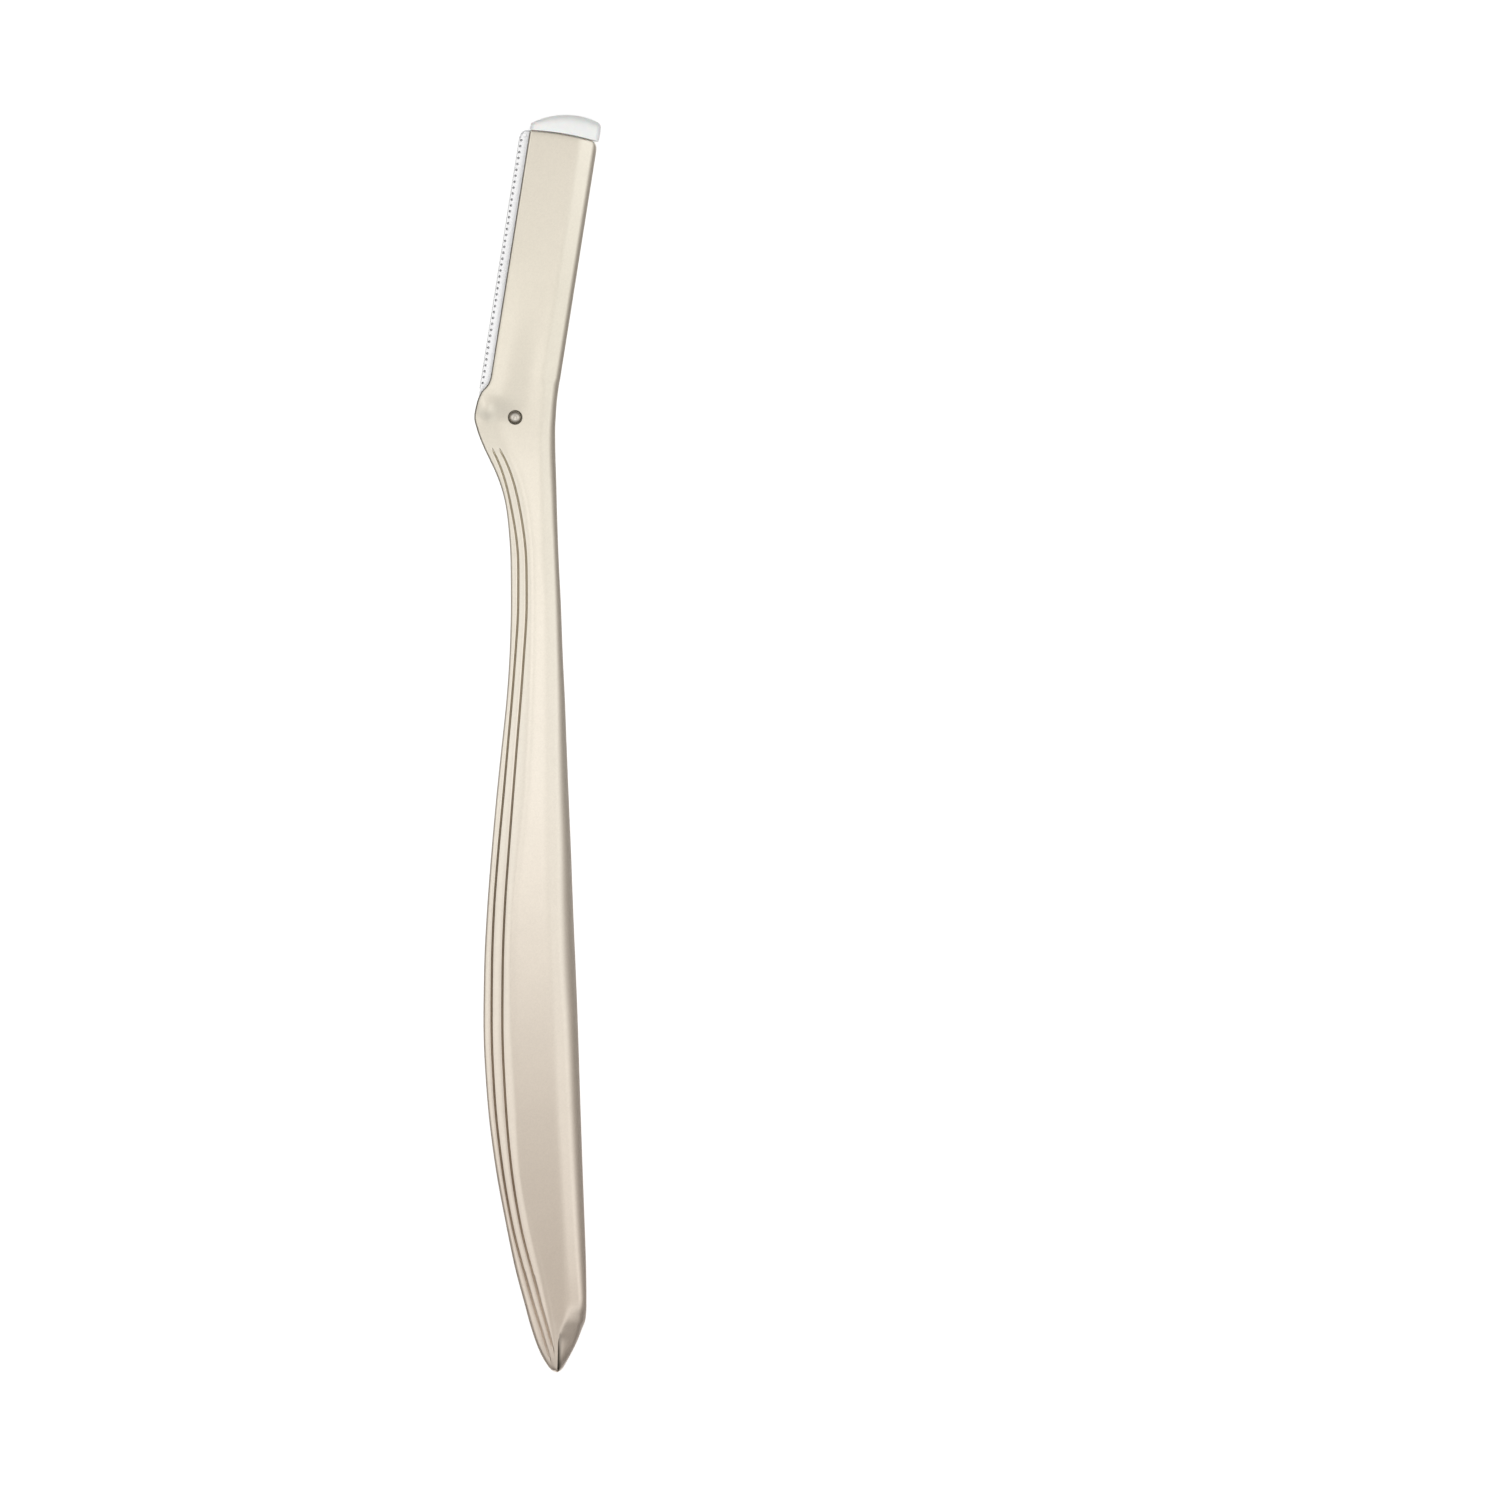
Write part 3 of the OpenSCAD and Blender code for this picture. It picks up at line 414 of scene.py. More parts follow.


# Painted shade on the coat from 0 to 1: a little in the grooves, most in the tip's crease
def paintedShadeShare(rows, x):
    off = np.minimum(np.abs(x - rows[:, 2:3]), np.abs(x - rows[:, 3:4])) / grooveHalfWidth(rows)
    depth = grooveDepth(rows, "inner") / groove["depth"]
    inGroove = alongY(groove["shadeAmount"], rows[:, :1]) * depth * np.clip(groove["shadeReach"] - off, 0, 1)
    past = x - rows[:, 5:6]
    fade = 1 - easeIn((past - crease["shadeFlat"]) / crease["shadeFade"])
    inCrease = creaseShare(rows) * np.clip(past / crease["rise"], 0, 1) * fade
    return np.maximum(inGroove, inCrease * alongY(crease["shadeAmount"], rows[:, :1]))


# One closed ring of points for each row: up the left wall, round its edge, over the top, round the right
# edge, down the right wall. A rounded edge is a parabola that leaves the face along its slope and meets the
# wall at the edge's lean.
def shellRing(rows, side):
    left, right = rows[:, 1:2], rows[:, 6:7]
    erL, erR = edgeRounds(rows)
    x = columnPlaces(rows)
    height = outsideHeight(rows, x, side) - valleyDepth(x, rows[:, :1]) - creaseDepth(rows, x)
    seam = np.minimum(shell["seam"], erL / 2)
    startL, endR = height[:, :1], height[:, -1:]
    slopeL = (height[:, 1:2] - height[:, :1]) / (x[:, 1:2] - x[:, :1])
    slopeR = (height[:, -1:] - height[:, -2:-1]) / (x[:, -1:] - x[:, -2:-1])
    turn, lean = shell["edgeTurn"], math.tan(math.radians(shell["edgeLean"]))
    bendL, bendR = startL - slopeL * erL * (1 - turn), endR + slopeR * erR * (1 - turn)
    wallL = np.maximum(bendL - lean * erL * turn, 2 * seam)
    wallR = np.maximum(bendR - lean * erR * turn, 2 * seam)
    t = np.linspace(0, 1, grid["leftEdge"])[None, :-1]
    arcLx = left + erL * (2 * t * (1 - t) * turn + t ** 2)
    arcLh = wallL * (1 - t) ** 2 + 2 * bendL * t * (1 - t) + startL * t ** 2
    s = np.linspace(0, 1, grid["rightEdge"])[None, 1:]
    arcRx = right - erR * (2 * s * (1 - s) * turn + (1 - s) ** 2)
    arcRh = endR * (1 - s) ** 2 + 2 * bendR * s * (1 - s) + wallR * s ** 2
    w = np.linspace(0, 1, grid["wall"])[None, :-1]
    upL = seam + (wallL - seam) * w
    downR = seam + (wallR - seam) * w[:, ::-1]
    one = np.ones_like(w)
    ringX = np.hstack([left + seam, left * one, arcLx, x, arcRx, right * one, right - seam])
    ringH = np.hstack([0 * left, upL, arcLh, height, arcRh, downR, 0 * left])
    before, after = 1 + w.shape[1] + t.shape[1], s.shape[1] + w.shape[1] + 1
    ringShade = np.pad(paintedShadeShare(rows, x), ((0, 0), (before, after)))
    # painted shade along the left edge darkens the coat, most at the head's slot
    fade = np.interp(np.arange(before), shell["edgeShadeFade"], (1, 0))
    ringShade[:, :before] = alongY(shell["edgeShade"], rows[:, :1]) * fade
    return ringX, ringH, ringShade


def turnToHead(x, y):
    c, s = math.cos(headTilt), math.sin(headTilt)
    return x * c - y * s, x * s + y * c


def turnFromHead(v, u):
    c, s = math.cos(headTilt), math.sin(headTilt)
    return v * c + u * s, u * c - v * s


# End line of the head over its width: an arc about the hinge with a rounded corner at each side
def headEnd(v):
    end = np.sqrt(headRadius ** 2 - v ** 2)
    for side, corner in ((1, shell["spineCorner"]), (-1, shell["slotCorner"])):
        centre = (shell["spineSide"] if side > 0 else shell["slotSide"]) - corner
        top = math.sqrt((headRadius - corner) ** 2 - centre ** 2)
        beyond = np.clip((side * v - centre) / corner, 0, 1)
        end = np.where(side * v > centre, np.minimum(end, top + corner * np.sqrt(1 - beyond ** 2)), end)
    return end


# The tip closes with rows that shrink towards the middle of the first one: shares of width and height, distance
tipClosing = [(0.35, 0.883, 0.0325), (0.75, 0.955, 0.0125)]


def rowPlaces(start, stop):
    tip = start + grid["tipLength"] * np.linspace(0, 1, grid["tipRows"]) ** grid["tipBunch"]
    middle = np.arange(tip[-1] + grid["afterTip"], grid["knuckle"], grid["rowStep"])
    return np.concatenate([tip, middle, np.arange(grid["knuckle"], stop, grid["knuckleStep"]), [stop]])


# A shell is a grid: the tip's closing rows, the handle's rings, then the last ring carried up the head. There
# the columns keep their distance from the spine up to the end line, where they bend over in a quarter of an
# ellipse and run down the end wall.
def buildShell(name, side):
    table = handleTable()
    y = rowPlaces(table[0, 0], table[-1, 0])
    ringX, ringH, ringShade = shellRing(evened(table, y), side)
    ringY = np.repeat(y[:, None], ringX.shape[1], 1)
    middle = ringX[:1].mean()
    tipX = [middle + (ringX[:1] - middle) * width for width, height, back in tipClosing]
    tipH = [ringH[:1] * height for width, height, back in tipClosing]
    tipY = [ringY[:1] - back for width, height, back in tipClosing]
    v, u0 = turnToHead(ringX[-1:], ringY[-1:])
    u1 = headEnd(v)
    e = shell["endRound"]
    top = ringH[-1:].max()
    t = np.linspace(0, 1, grid["headRows"])[1:, None]
    a = np.linspace(0, math.pi / 2, grid["endRows"])[1:, None]
    down = np.linspace(1, 0, grid["endWallRows"])[1:, None]
    endH = ringH[-1:] * (1 - e / top * (1 - np.cos(a)))
    headU = np.vstack([u0 + (u1 - e - u0) * t, u1 - e * (1 - np.sin(a)), np.repeat(u1, len(down), 0)])
    headH = np.vstack([np.repeat(ringH[-1:], len(t), 0), endH, endH[-1:] * down])
    headX, headY = turnFromHead(np.repeat(v, len(headU), 0), headU)
    x = np.vstack(tipX + [ringX, headX])
    h = np.vstack(tipH + [ringH, headH])
    yy = np.vstack(tipY + [ringY, headY])
    points = np.stack([x, yy, side * h * (1 - dishShare(x, yy))], -1)
    rowsN, columns = x.shape
    faces = gridFaces(rowsN, columns) + [list(range(columns))[::-1]]
    piece = makeMesh(name, points, faces, turned=side > 0)
    # painted shade of the grooves, the crease and the left edge; the head keeps the last ring's
    shadeAmount = np.zeros(x.shape)
    shadeAmount[len(tipX):len(tipX) + len(ringShade)] = ringShade
    shadeAmount[len(tipX) + len(ringShade):] = ringShade[-1:]
    addShadeAttribute(piece, "paintedShadeTone", shadeAmount.ravel())
    merge(piece)
    return piece


# A point attribute that carries a share of painted shade
def addShadeAttribute(piece, name, values):
    piece.data.attributes.new(name, "FLOAT", "POINT").data.foreach_set("value", values)


# Coinciding points are joined, open ends closed and all faces turned outwards
def merge(piece):
    mesh = bmesh.new()
    mesh.from_mesh(piece.data)
    bmesh.ops.remove_doubles(mesh, verts=mesh.verts, dist=2e-7)
    bmesh.ops.dissolve_degenerate(mesh, dist=1e-7, edges=mesh.edges)
    holes = [e for e in mesh.edges if len(e.link_faces) == 1]
    if holes:
        bmesh.ops.holes_fill(mesh, edges=holes)
    bmesh.ops.recalc_face_normals(mesh, faces=mesh.faces)
    mesh.to_mesh(piece.data)
    mesh.free()


# Upright prism over an outline, between two heights about the parting plane
def prism(name, outline, bottom, top):
    n = len(outline)
    points = [[x, y, z] for z in (bottom, top) for x, y in outline]
    faces = [[i, (i + 1) % n, n + (i + 1) % n, n + i] for i in range(n)]
    faces += [list(range(n))[::-1], list(range(n, 2 * n))]
    piece = makeMesh(name, points, faces)
    merge(piece)
    return piece


# Room for the carrier: the slot over its swing, the pocket for its shoulder and the bowl round its hub. Angles
# are in degrees from the head's line, towards the slot side.
slot = {
    "half": 1.0,
    "beyond": 1.5,         # past the head's end
    "endAngle": 95.0,
    "pocketAngle": 118.2,
    "pocketRadius": 3.93,
    "pocketPoints": 9,
    "hubRadius": 2.7,
    "hubEndAngle": 295.6,
    "hubPoints": 45,
    "spine": 3.47,
    "spineStart": 1.7,
}


def slotOutline():
    far = headRadius + slot["beyond"]
    place = lambda r, degrees: (-r * math.sin(math.radians(degrees)), r * math.cos(math.radians(degrees)))
    pocket = np.linspace(slot["endAngle"], slot["pocketAngle"], slot["pocketPoints"])
    hub = np.linspace(slot["pocketAngle"], slot["hubEndAngle"], slot["hubPoints"])
    outline = [(slot["spine"], far), (-far, far), place(far, slot["endAngle"])]
    outline += [place(slot["pocketRadius"], d) for d in pocket] + [place(slot["hubRadius"], d) for d in hub]
    outline += [(slot["spine"], slot["spineStart"])]
    return [turnFromHead(v, u) for v, u in outline]


pin = {
    "radius": 0.72,
    "frontFace": 2.274,    # height of the shell's face round the pin
    "backFace": 2.325,
    "dome": 0.3,
    "rim": 0.12,
    "rimLean": 38,         # degrees
    "sides": 96,
    "seatRadius": 0.84,
    "lipRadius": 0.89,
    "seatDepth": 0.4,
    "seatSlope": 0.03,
    "seatBottom": 0.6,
    "seatCut": 0.45,
    "cutTo": 4,            # well clear of the face
    "air": 0.01,
    # painted shade on the seat's floor round the pin
    "seatShade": 0.9,
    "smoothAngle": 30,
}


# Seat round the pin: the face bends over a rounded lip, down a short wall and over a level floor to the pin.
# Painted shade darkens the wall's foot and the floor.
def pinSeat(name, side):
    s = np.linspace(0, math.pi / 2, 9)
    lip = pin["lipRadius"] - pin["seatRadius"]
    hole = pin["radius"] + pin["air"]
    radius = np.array([pin["lipRadius"], *(pin["lipRadius"] - lip * np.sin(s)), pin["seatRadius"], hole, hole])
    drop = np.array([pin["seatBottom"], *(lip * (1 - np.cos(s))), pin["seatDepth"],
                     pin["seatDepth"] + pin["seatSlope"], pin["seatBottom"]])
    angle = roundAngles(pin["sides"])
    x = radius[:, None] * np.cos(angle)
    y = radius[:, None] * np.sin(angle)
    rows = alongHandle(handleTable(), y.ravel())
    face = outsideHeight(rows, x.reshape(-1, 1), side)[:, 0] - valleyDepth(x.ravel(), y.ravel())
    face = face.reshape(x.shape) * (1 - dishShare(x, y))
    face[drop > lip] = pin["frontFace"] if side > 0 else pin["backFace"]
    points = np.stack([x, y, side * (face - drop[:, None])], -1)
    n = len(angle)
    last = (len(radius) - 1) * n
    faces = gridFaces(len(radius), n) + [[i, (i + 1) % n, last + (i + 1) % n, last + i] for i in range(n)]
    piece = makeMesh(name, points, faces)
    addShadeAttribute(piece, "paintedShadeTone", np.repeat((drop > lip) * pin["seatShade"], n))
    merge(piece)
    return piece


def joinInto(piece, others):
    objects = {"active_object": piece, "object": piece, "selected_editable_objects": [piece] + others}
    with bpy.context.temp_override(**objects):
        bpy.ops.object.join()


def finishShell(name, side):
    piece = buildShell(name, side)
    cutWith(piece, prism("slotCutter", slotOutline(), -slot["half"], slot["half"]))
    angle = roundAngles(pin["sides"])
    ring = [(pin["lipRadius"] * math.cos(a), pin["lipRadius"] * math.sin(a)) for a in angle]
    face = pin["frontFace"] if side > 0 else pin["backFace"]
    heights = sorted((side * (face - pin["seatCut"]), side * pin["cutTo"]))
    cutWith(piece, prism("seatCutter", ring, *heights))
    joinInto(piece, [pinSeat(name + "Seat", side)])
    smoothByAngle(piece, shell["smoothAngle"])
    return piece


frontShell = finishShell("frontShell", 1)
backShell = finishShell("backShell", -1)
print("shells:", len(frontShell.data.polygons), len(backShell.data.polygons), "faces")


# Pivot pin and cap. A profile of (radius, height) turned about the hinge axis
def turned(name, profile, sides=64):
    profile = np.array(profile)
    angle = roundAngles(sides)
    x = profile[:, :1] * np.cos(angle)
    y = profile[:, :1] * np.sin(angle)
    points = np.stack([x, y, np.repeat(profile[:, 1:], sides, 1)], -1)
    piece = makeMesh(name, points, gridFaces(len(profile), sides))
    merge(piece)
    smoothByAngle(piece, pin["smoothAngle"])
    return piece


# Half profile of the domed end: a small rounded rim that runs on smoothly into the cap of a ball at the rim's
# lean
def domeProfile(base, direction):
    rim, lean = pin["rim"], math.radians(pin["rimLean"])
    flat = pin["radius"] - rim
    ball = rim + flat / math.sin(lean)
    s = np.linspace(math.pi / 2, lean, 6)
    t = np.linspace(lean, 0, 14)[1:]
    radii = np.concatenate([flat + rim * np.sin(s), ball * np.sin(t)])
    heights = np.concatenate([rim * np.cos(s), ball * np.cos(t) - (ball - rim) * math.cos(lean)])
    lift = pin["dome"] - heights[-1]
    return [(a, base + direction * (lift + b)) for a, b in zip(radii, heights)]


# The pin is a shaft that steps out to its domed end at the front; the cap is a sleeve with the same end at the
# back. Heights of the steps are over the cap's face.
shaft = {"foot": -2.02, "radius": 0.45, "step": 0.75,
         "sleeveRadius": 0.47, "sleeveFoot": 0.05, "sleeveStep": 0.73}
shaftTop = pin["frontFace"] - pin["dome"]
capBase = -(pin["backFace"] - pin["dome"])
pinStep, sleeveFoot, sleeveStep = (capBase + shaft[key] for key in ("step", "sleeveFoot", "sleeveStep"))
pivotPin = turned("pivotPin", [(0, shaft["foot"]), (shaft["radius"], shaft["foot"]), (shaft["radius"], pinStep),
                               (pin["radius"], pinStep)] + domeProfile(shaftTop, 1))
pivotCap = turned("pivotCap", [(0, sleeveFoot), (shaft["sleeveRadius"], sleeveFoot),
                               (shaft["sleeveRadius"], sleeveStep), (pin["radius"], sleeveStep)]
                  + domeProfile(capBase, -1))
print("pin and cap turned")


tab = {
    "left": -3.55,
    "right": 4.6,
    "underRadius": 33.55,
    "crownCentre": (1.65, 27.12),
    "crownRadius": 8.8,
    "halfThickness": 2.0,
    "cornerRadius": 0.8,
    "lowerCorner": 0.3,
    "leastHeight": 0.12,   # at the left end
    "stations": 72,
    "bunching": 0.8,       # power that draws the stations to the ends
    "around": 72,
    "smoothAngle": 40,
    "endWidth": 0.6,       # over which the tab thickens from its ends
    "endShare": 0.62,      # of the thickness, at the very ends
    "widest": 0.36,        # share of the height that lies below the widest line
    "archPower": (2 / 3, 2 / 2.8),      # upper half: up, out
    "squarePower": (2 / 12, 2 / 12),
}


# The tab is lofted across the head. At each station v its section reaches from the underside, an arc about the
# hinge, up to the crown circle. It is a superellipse: a rounded arch above, nearly square below. Its thickness
# comes in at both ends as a quarter circle.
def buildTab():
    k = np.linspace(0, math.pi, tab["stations"])
    middle, half = (tab["right"] + tab["left"]) / 2, (tab["right"] - tab["left"]) / 2
    v = middle - half * np.sign(np.cos(k)) * np.abs(np.cos(k)) ** tab["bunching"]
    cv, cu = tab["crownCentre"]
    under = np.sqrt(tab["underRadius"] ** 2 - v ** 2)
    crown = cu + np.sqrt(tab["crownRadius"] ** 2 - (v - cv) ** 2)
    r = tab["cornerRadius"]
    centre = tab["right"] - r
    cornerTop = cu + math.sqrt((tab["crownRadius"] - r) ** 2 - (centre - cv) ** 2)
    beyond = np.clip((v - centre) / r, 0, 1)
    crown = np.where(v > centre, np.minimum(crown, cornerTop + r * np.sqrt(1 - beyond ** 2)), crown)
    q = tab["lowerCorner"]
    beyondLow = np.clip((v - tab["right"] + q) / q, 0, 1)
    under = under + q * (1 - np.sqrt(1 - beyondLow ** 2))
    ease = np.clip(np.minimum(v - tab["left"], tab["right"] - v) / tab["endWidth"], 0, 1)
    share = tab["endShare"] + (1 - tab["endShare"]) * np.sqrt(1 - (1 - ease) ** 2)
    height = crown - under
    height[0] = max(height[0], tab["leastHeight"])
    a = roundAngles(tab["around"])
    up, out = np.sin(a), np.cos(a)
    upPower, outPower = (np.where(up > 0, *pair) for pair in zip(tab["archPower"], tab["squarePower"]))
    wide = np.sign(out) * np.abs(out) ** outPower
    high = np.sign(up) * np.abs(up) ** upPower
    level = np.where(high > 0, tab["widest"] + (1 - tab["widest"]) * high, tab["widest"] * (1 + high))
    x, y = turnFromHead(np.repeat(v[:, None], len(a), 1), under[:, None] + height[:, None] * level)
    points = np.stack([x, y, tab["halfThickness"] * share[:, None] * wide], -1)
    rows, columns = x.shape
    ends = [list(range(columns))[::-1], [(rows - 1) * columns + i for i in range(columns)]]
    piece = makeMesh("thumbTab", points, gridFaces(rows, columns) + ends)
    merge(piece)
    smoothByAngle(piece, tab["smoothAngle"])
    return piece


thumbTab = buildTab()
print("thumb tab lofted")


# The guard strips are the frame's own shapes with their sharp edges rounded, on merged copies. Places are in
# the head's own lines.
guard = {
    "edge": 0.07,
    "segments": 3,
    "face": 0.35,          # height of the strips' outer faces over the parting plane
    "side": -4.58,
    "end": 33.35,
    "corner": 0.8,
    "rimFrom": 32.27,
    "rimTo": -3.35,
    "rimRadius": 0.08,
    "rimSunk": 0.02,
    # painted shade on the strip's rolled rim
    "rimShade": 0.5,
    "eyelet": (-4.1, 32.73),
    "eyeletRadius": 0.24,
    "eyeletRim": 0.03,
    # painted shade on the eyelet's rim
    "eyeletShade": 0.4,
    "around": 12,          # sides of a bead
    "eyeletSteps": 32,
    "bevelFrom": 50,       # degrees
    "smoothAngle": 35,
}


# Bead: a small circle carried along a path of points (x, y) at one height, greyed by a share of painted shade
def bead(name, path, height, radius, shadeAmount, closed=False):
    ahead = np.roll(path, -1, 0) - np.roll(path, 1, 0) if closed else np.gradient(path, axis=0)
    ahead /= np.linalg.norm(ahead, axis=1)[:, None]
    a = roundAngles(guard["around"])
    x = path[:, :1] + radius * np.cos(a) * ahead[:, 1:]
    y = path[:, 1:] - radius * np.cos(a) * ahead[:, :1]
    z = np.repeat(height + radius * np.sin(a)[None, :], len(path), 0)
    points = np.stack([x, y, z], -1)
    if closed:
        points = np.concatenate([points, points[:1]])
    piece = makeMesh(name, points, gridFaces(len(points), len(a)))
    merge(piece)
    piece.data.shade_smooth()
    addShadeAttribute(piece, "rimShade", np.full(len(piece.data.vertices), shadeAmount))
    return piece


# The strip's rolled rim runs round its free end to the slot, and a finer one round the eyelet; both carry
# painted shade
def guardRims(name, side):
    turn = np.radians(np.linspace(180, 90, 13))
    r, corner = guard["rimRadius"], guard["corner"]
    v = np.array([guard["side"] + r, *(guard["side"] + corner + (corner - r) * np.cos(turn)), guard["rimTo"]])
    u = np.array([guard["rimFrom"], *(guard["end"] - corner + (corner - r) * np.sin(turn)), guard["end"] - r])
    rim = bead(name + "Rim", np.stack(turnFromHead(v, u), 1), side * (guard["face"] - guard["rimSunk"]), r,
               guard["rimShade"])
    a = roundAngles(guard["eyeletSteps"])
    v = guard["eyelet"][0] + guard["eyeletRadius"] * np.cos(a)
    u = guard["eyelet"][1] + guard["eyeletRadius"] * np.sin(a)
    eyelet = bead(name + "EyeletRim", np.stack(turnFromHead(v, u), 1), side * guard["face"], guard["eyeletRim"],
                  guard["eyeletShade"], closed=True)
    return [rim, eyelet]


def roundedGuard(name, node):
    source = frame["nodes"][node]
    piece = newObject(name, source.data.copy())
    mesh = bmesh.new()
    mesh.from_mesh(piece.data)
    mesh.transform(source.matrix_world)
    bmesh.ops.remove_doubles(mesh, verts=mesh.verts, dist=1e-7)
    bmesh.ops.dissolve_limit(mesh, angle_limit=math.radians(1), verts=mesh.verts, edges=mesh.edges)
    mesh.to_mesh(piece.data)
    mesh.free()
    edge = piece.modifiers.new("edge", "BEVEL")
    edge.width = guard["edge"] / 1000
    edge.segments = guard["segments"]
    edge.limit_method = "ANGLE"
    edge.angle_limit = math.radians(guard["bevelFrom"])
    edge.use_clamp_overlap = True
    bpy.context.view_layer.update()
    applyModifiers(piece)
    smoothByAngle(piece, guard["smoothAngle"])
    return piece


frontGuard = roundedGuard("frontGuard", "front_guard")
backGuard = roundedGuard("backGuard", "back_guard")
joinInto(frontGuard, guardRims("frontGuard", 1))
joinInto(backGuard, guardRims("backGuard", -1))
print("guards:", len(frontGuard.data.polygons), "faces each")


# Materials
def newMaterial(name):
    material = bpy.data.materials.new(name)
    tree = emptyTree(material)
    shader = addNode(tree, "BsdfPrincipled")
    addNode(tree, "OutputMaterial", links={"Surface": shader.outputs[0]})
    return material, tree, shader


# Short forms of the nodes that the materials share. Sizes are in metres, and a hex colour is turned linear.
def objectPlace(tree):
    return addNode(tree, "TexCoord").outputs["Object"]


def noise(tree, place, size, detail):
    node = addNode(tree, "TexNoise", {"Scale": 1 / size, "Detail": detail}, {"Vector": place})
    return node.outputs["Fac"]


def ranged(tree, source, low, high):
    return addNode(tree, "MapRange", {"To Min": low, "To Max": high}, {"Value": source}).outputs[0]


# Mix of two colours, each a hex colour or a node's output, by a share
def mixed(tree, share, first, second):
    values, links = {"data_type": "RGBA"}, {0: share}
    for socket, colour in ((6, first), (7, second)):
        if isinstance(colour, str):
            values[socket] = toLinear(colour)
        else:
            links[socket] = colour
    return addNode(tree, "Mix", values, links).outputs[2]


def bumped(tree, source, strength, distance):
    node = addNode(tree, "Bump", {"Strength": strength, "Distance": distance}, {"Height": source})
    return node.outputs[0]


def greater(tree, first, second):
    return addNode(tree, "Math", {"operation": "MAXIMUM"}, {0: first, 1: second}).outputs[0]


def scaled(tree, colour, factor):
    node = addNode(tree, "VectorMath", {"operation": "SCALE"}, {0: colour, "Scale": factor})
    return node.outputs[0]


def dress(tree, shader, links, values):
    for name, source in links.items():
        tree.links.new(source, shader.inputs[name])
    for name, value in values.items():
        shader.inputs[name].default_value = value


coatLook = {
    "flakeSize": 0.00016,
    "cloudSize": 0.004,
    "grainSize": 0.0003,
    "flakeShade": (0.97, 1.025),         # from the darkest to the brightest flake
    "cloudShade": (0.975, 1.02),
    # The tints along y are painted light and shade: darker and pinker towards the tip, lighter at the head
    "paintedFalloffRange": (-0.075, 0.07),         # y of the tip's and the head's tint
    "tipPaintedShade": "#E0D5CA",
    "paintedFalloffTints": ((0.5, "#EAE5DB"), (0.88, "#E4E0D4")),
    "headPaintedLight": "#EEEADF",
    # colour of the painted shade in the grooves, the crease, along the left edge and in the pin's seat
    "paintedShade": "#3C3A30",
    "edgeTint": "#B8AEA2",
    "roughness": (0.31, 0.39),
    "bump": (0.06, 0.00002),             # strength, distance
}


# Satin champagne coat on die-cast zinc: metal flakes under a fine matt surface, which spreads highlights into
# broad soft bands and leaves a faint sparkle. Real flakes are some 0.03 mm; they are drawn at 0.16 mm to show.
# Painted shade darkens the coat in the grooves, in the tip's crease, along the left edge and in the pin's seat,
# by an attribute of the shell.
def champagneCoat():
    material, tree, shader = newMaterial("champagneSatinCoat")
    place = objectPlace(tree)
    cells = {"Scale": 1 / coatLook["flakeSize"], "Randomness": 1.0}
    flakes = addNode(tree, "TexVoronoi", cells, {"Vector": place})
    cloud = noise(tree, place, coatLook["cloudSize"], 3.0)
    grain = noise(tree, place, coatLook["grainSize"], 2.0)
    along = addNode(tree, "SeparateXYZ", links={0: place})
    # painted light and shade along y: darker towards the tip, lighter at the head
    tip, head = coatLook["paintedFalloffRange"]
    fade = addNode(tree, "MapRange", {"From Min": tip, "From Max": head}, {"Value": along.outputs["Y"]})
    paintedFalloff = addNode(tree, "ValToRGB", links={"Fac": fade.outputs[0]})
    stops = paintedFalloff.color_ramp.elements
    stops[0].color = toLinear(coatLook["tipPaintedShade"])
    stops[1].color = toLinear(coatLook["headPaintedLight"])
    for share, colour in coatLook["paintedFalloffTints"]:
        stops.new(share).color = toLinear(colour)
    flakeValue = ranged(tree, flakes.outputs["Color"], *coatLook["flakeShade"])
    cloudValue = ranged(tree, cloud, *coatLook["cloudShade"])
    bright = addNode(tree, "Math", {"operation": "MULTIPLY"}, {0: flakeValue, 1: cloudValue})
    colour = scaled(tree, paintedFalloff.outputs["Color"], bright.outputs[0])
    # the share of painted shade, from the shell's attribute
    paintedShade = addNode(tree, "Attribute", {"attribute_name": "paintedShadeTone"})
    dress(tree, shader, {
        "Base Color": mixed(tree, paintedShade.outputs["Fac"], colour, coatLook["paintedShade"]),
        "Roughness": ranged(tree, grain, *coatLook["roughness"]),
        "Normal": bumped(tree, flakes.outputs["Distance"], *coatLook["bump"]),
    }, {"Metallic": 1.0, "Specular Tint": toLinear(coatLook["edgeTint"])})
    return material


# Moulded acetal: white, waxy and slightly see-through at its edges, with the faint orange peel of the mould
def whiteAcetal():
    material, tree, shader = newMaterial("whiteMouldedAcetal")
    peel = noise(tree, objectPlace(tree), 0.0006, 2.0)
    dress(tree, shader, {
        "Base Color": mixed(tree, peel, "#ECEDEB", "#F4F5F3"),
        "Roughness": ranged(tree, peel, 0.3, 0.4),
        "Normal": bumped(tree, peel, 0.1, 0.00001),
    }, {"IOR": 1.48, "Subsurface Weight": 0.15, "Subsurface Scale": 0.0006})
    return material


# Thin moulded guard strip: cool white nylon with a soft sheen, with grey painted shade on its rims by an
# attribute
def guardNylon():
    material, tree, shader = newMaterial("guardWhiteNylon")
    fine = noise(tree, objectPlace(tree), 0.0004, 2.0)
    rim = addNode(tree, "Attribute", {"attribute_name": "rimShade"})
    dress(tree, shader, {
        "Base Color": mixed(tree, rim.outputs["Fac"], mixed(tree, fine, "#F9F9FB", "#FFFFFF"), "#9FA1A5"),
        "Roughness": ranged(tree, fine, 0.34, 0.46),
    }, {"IOR": 1.53})
    return material


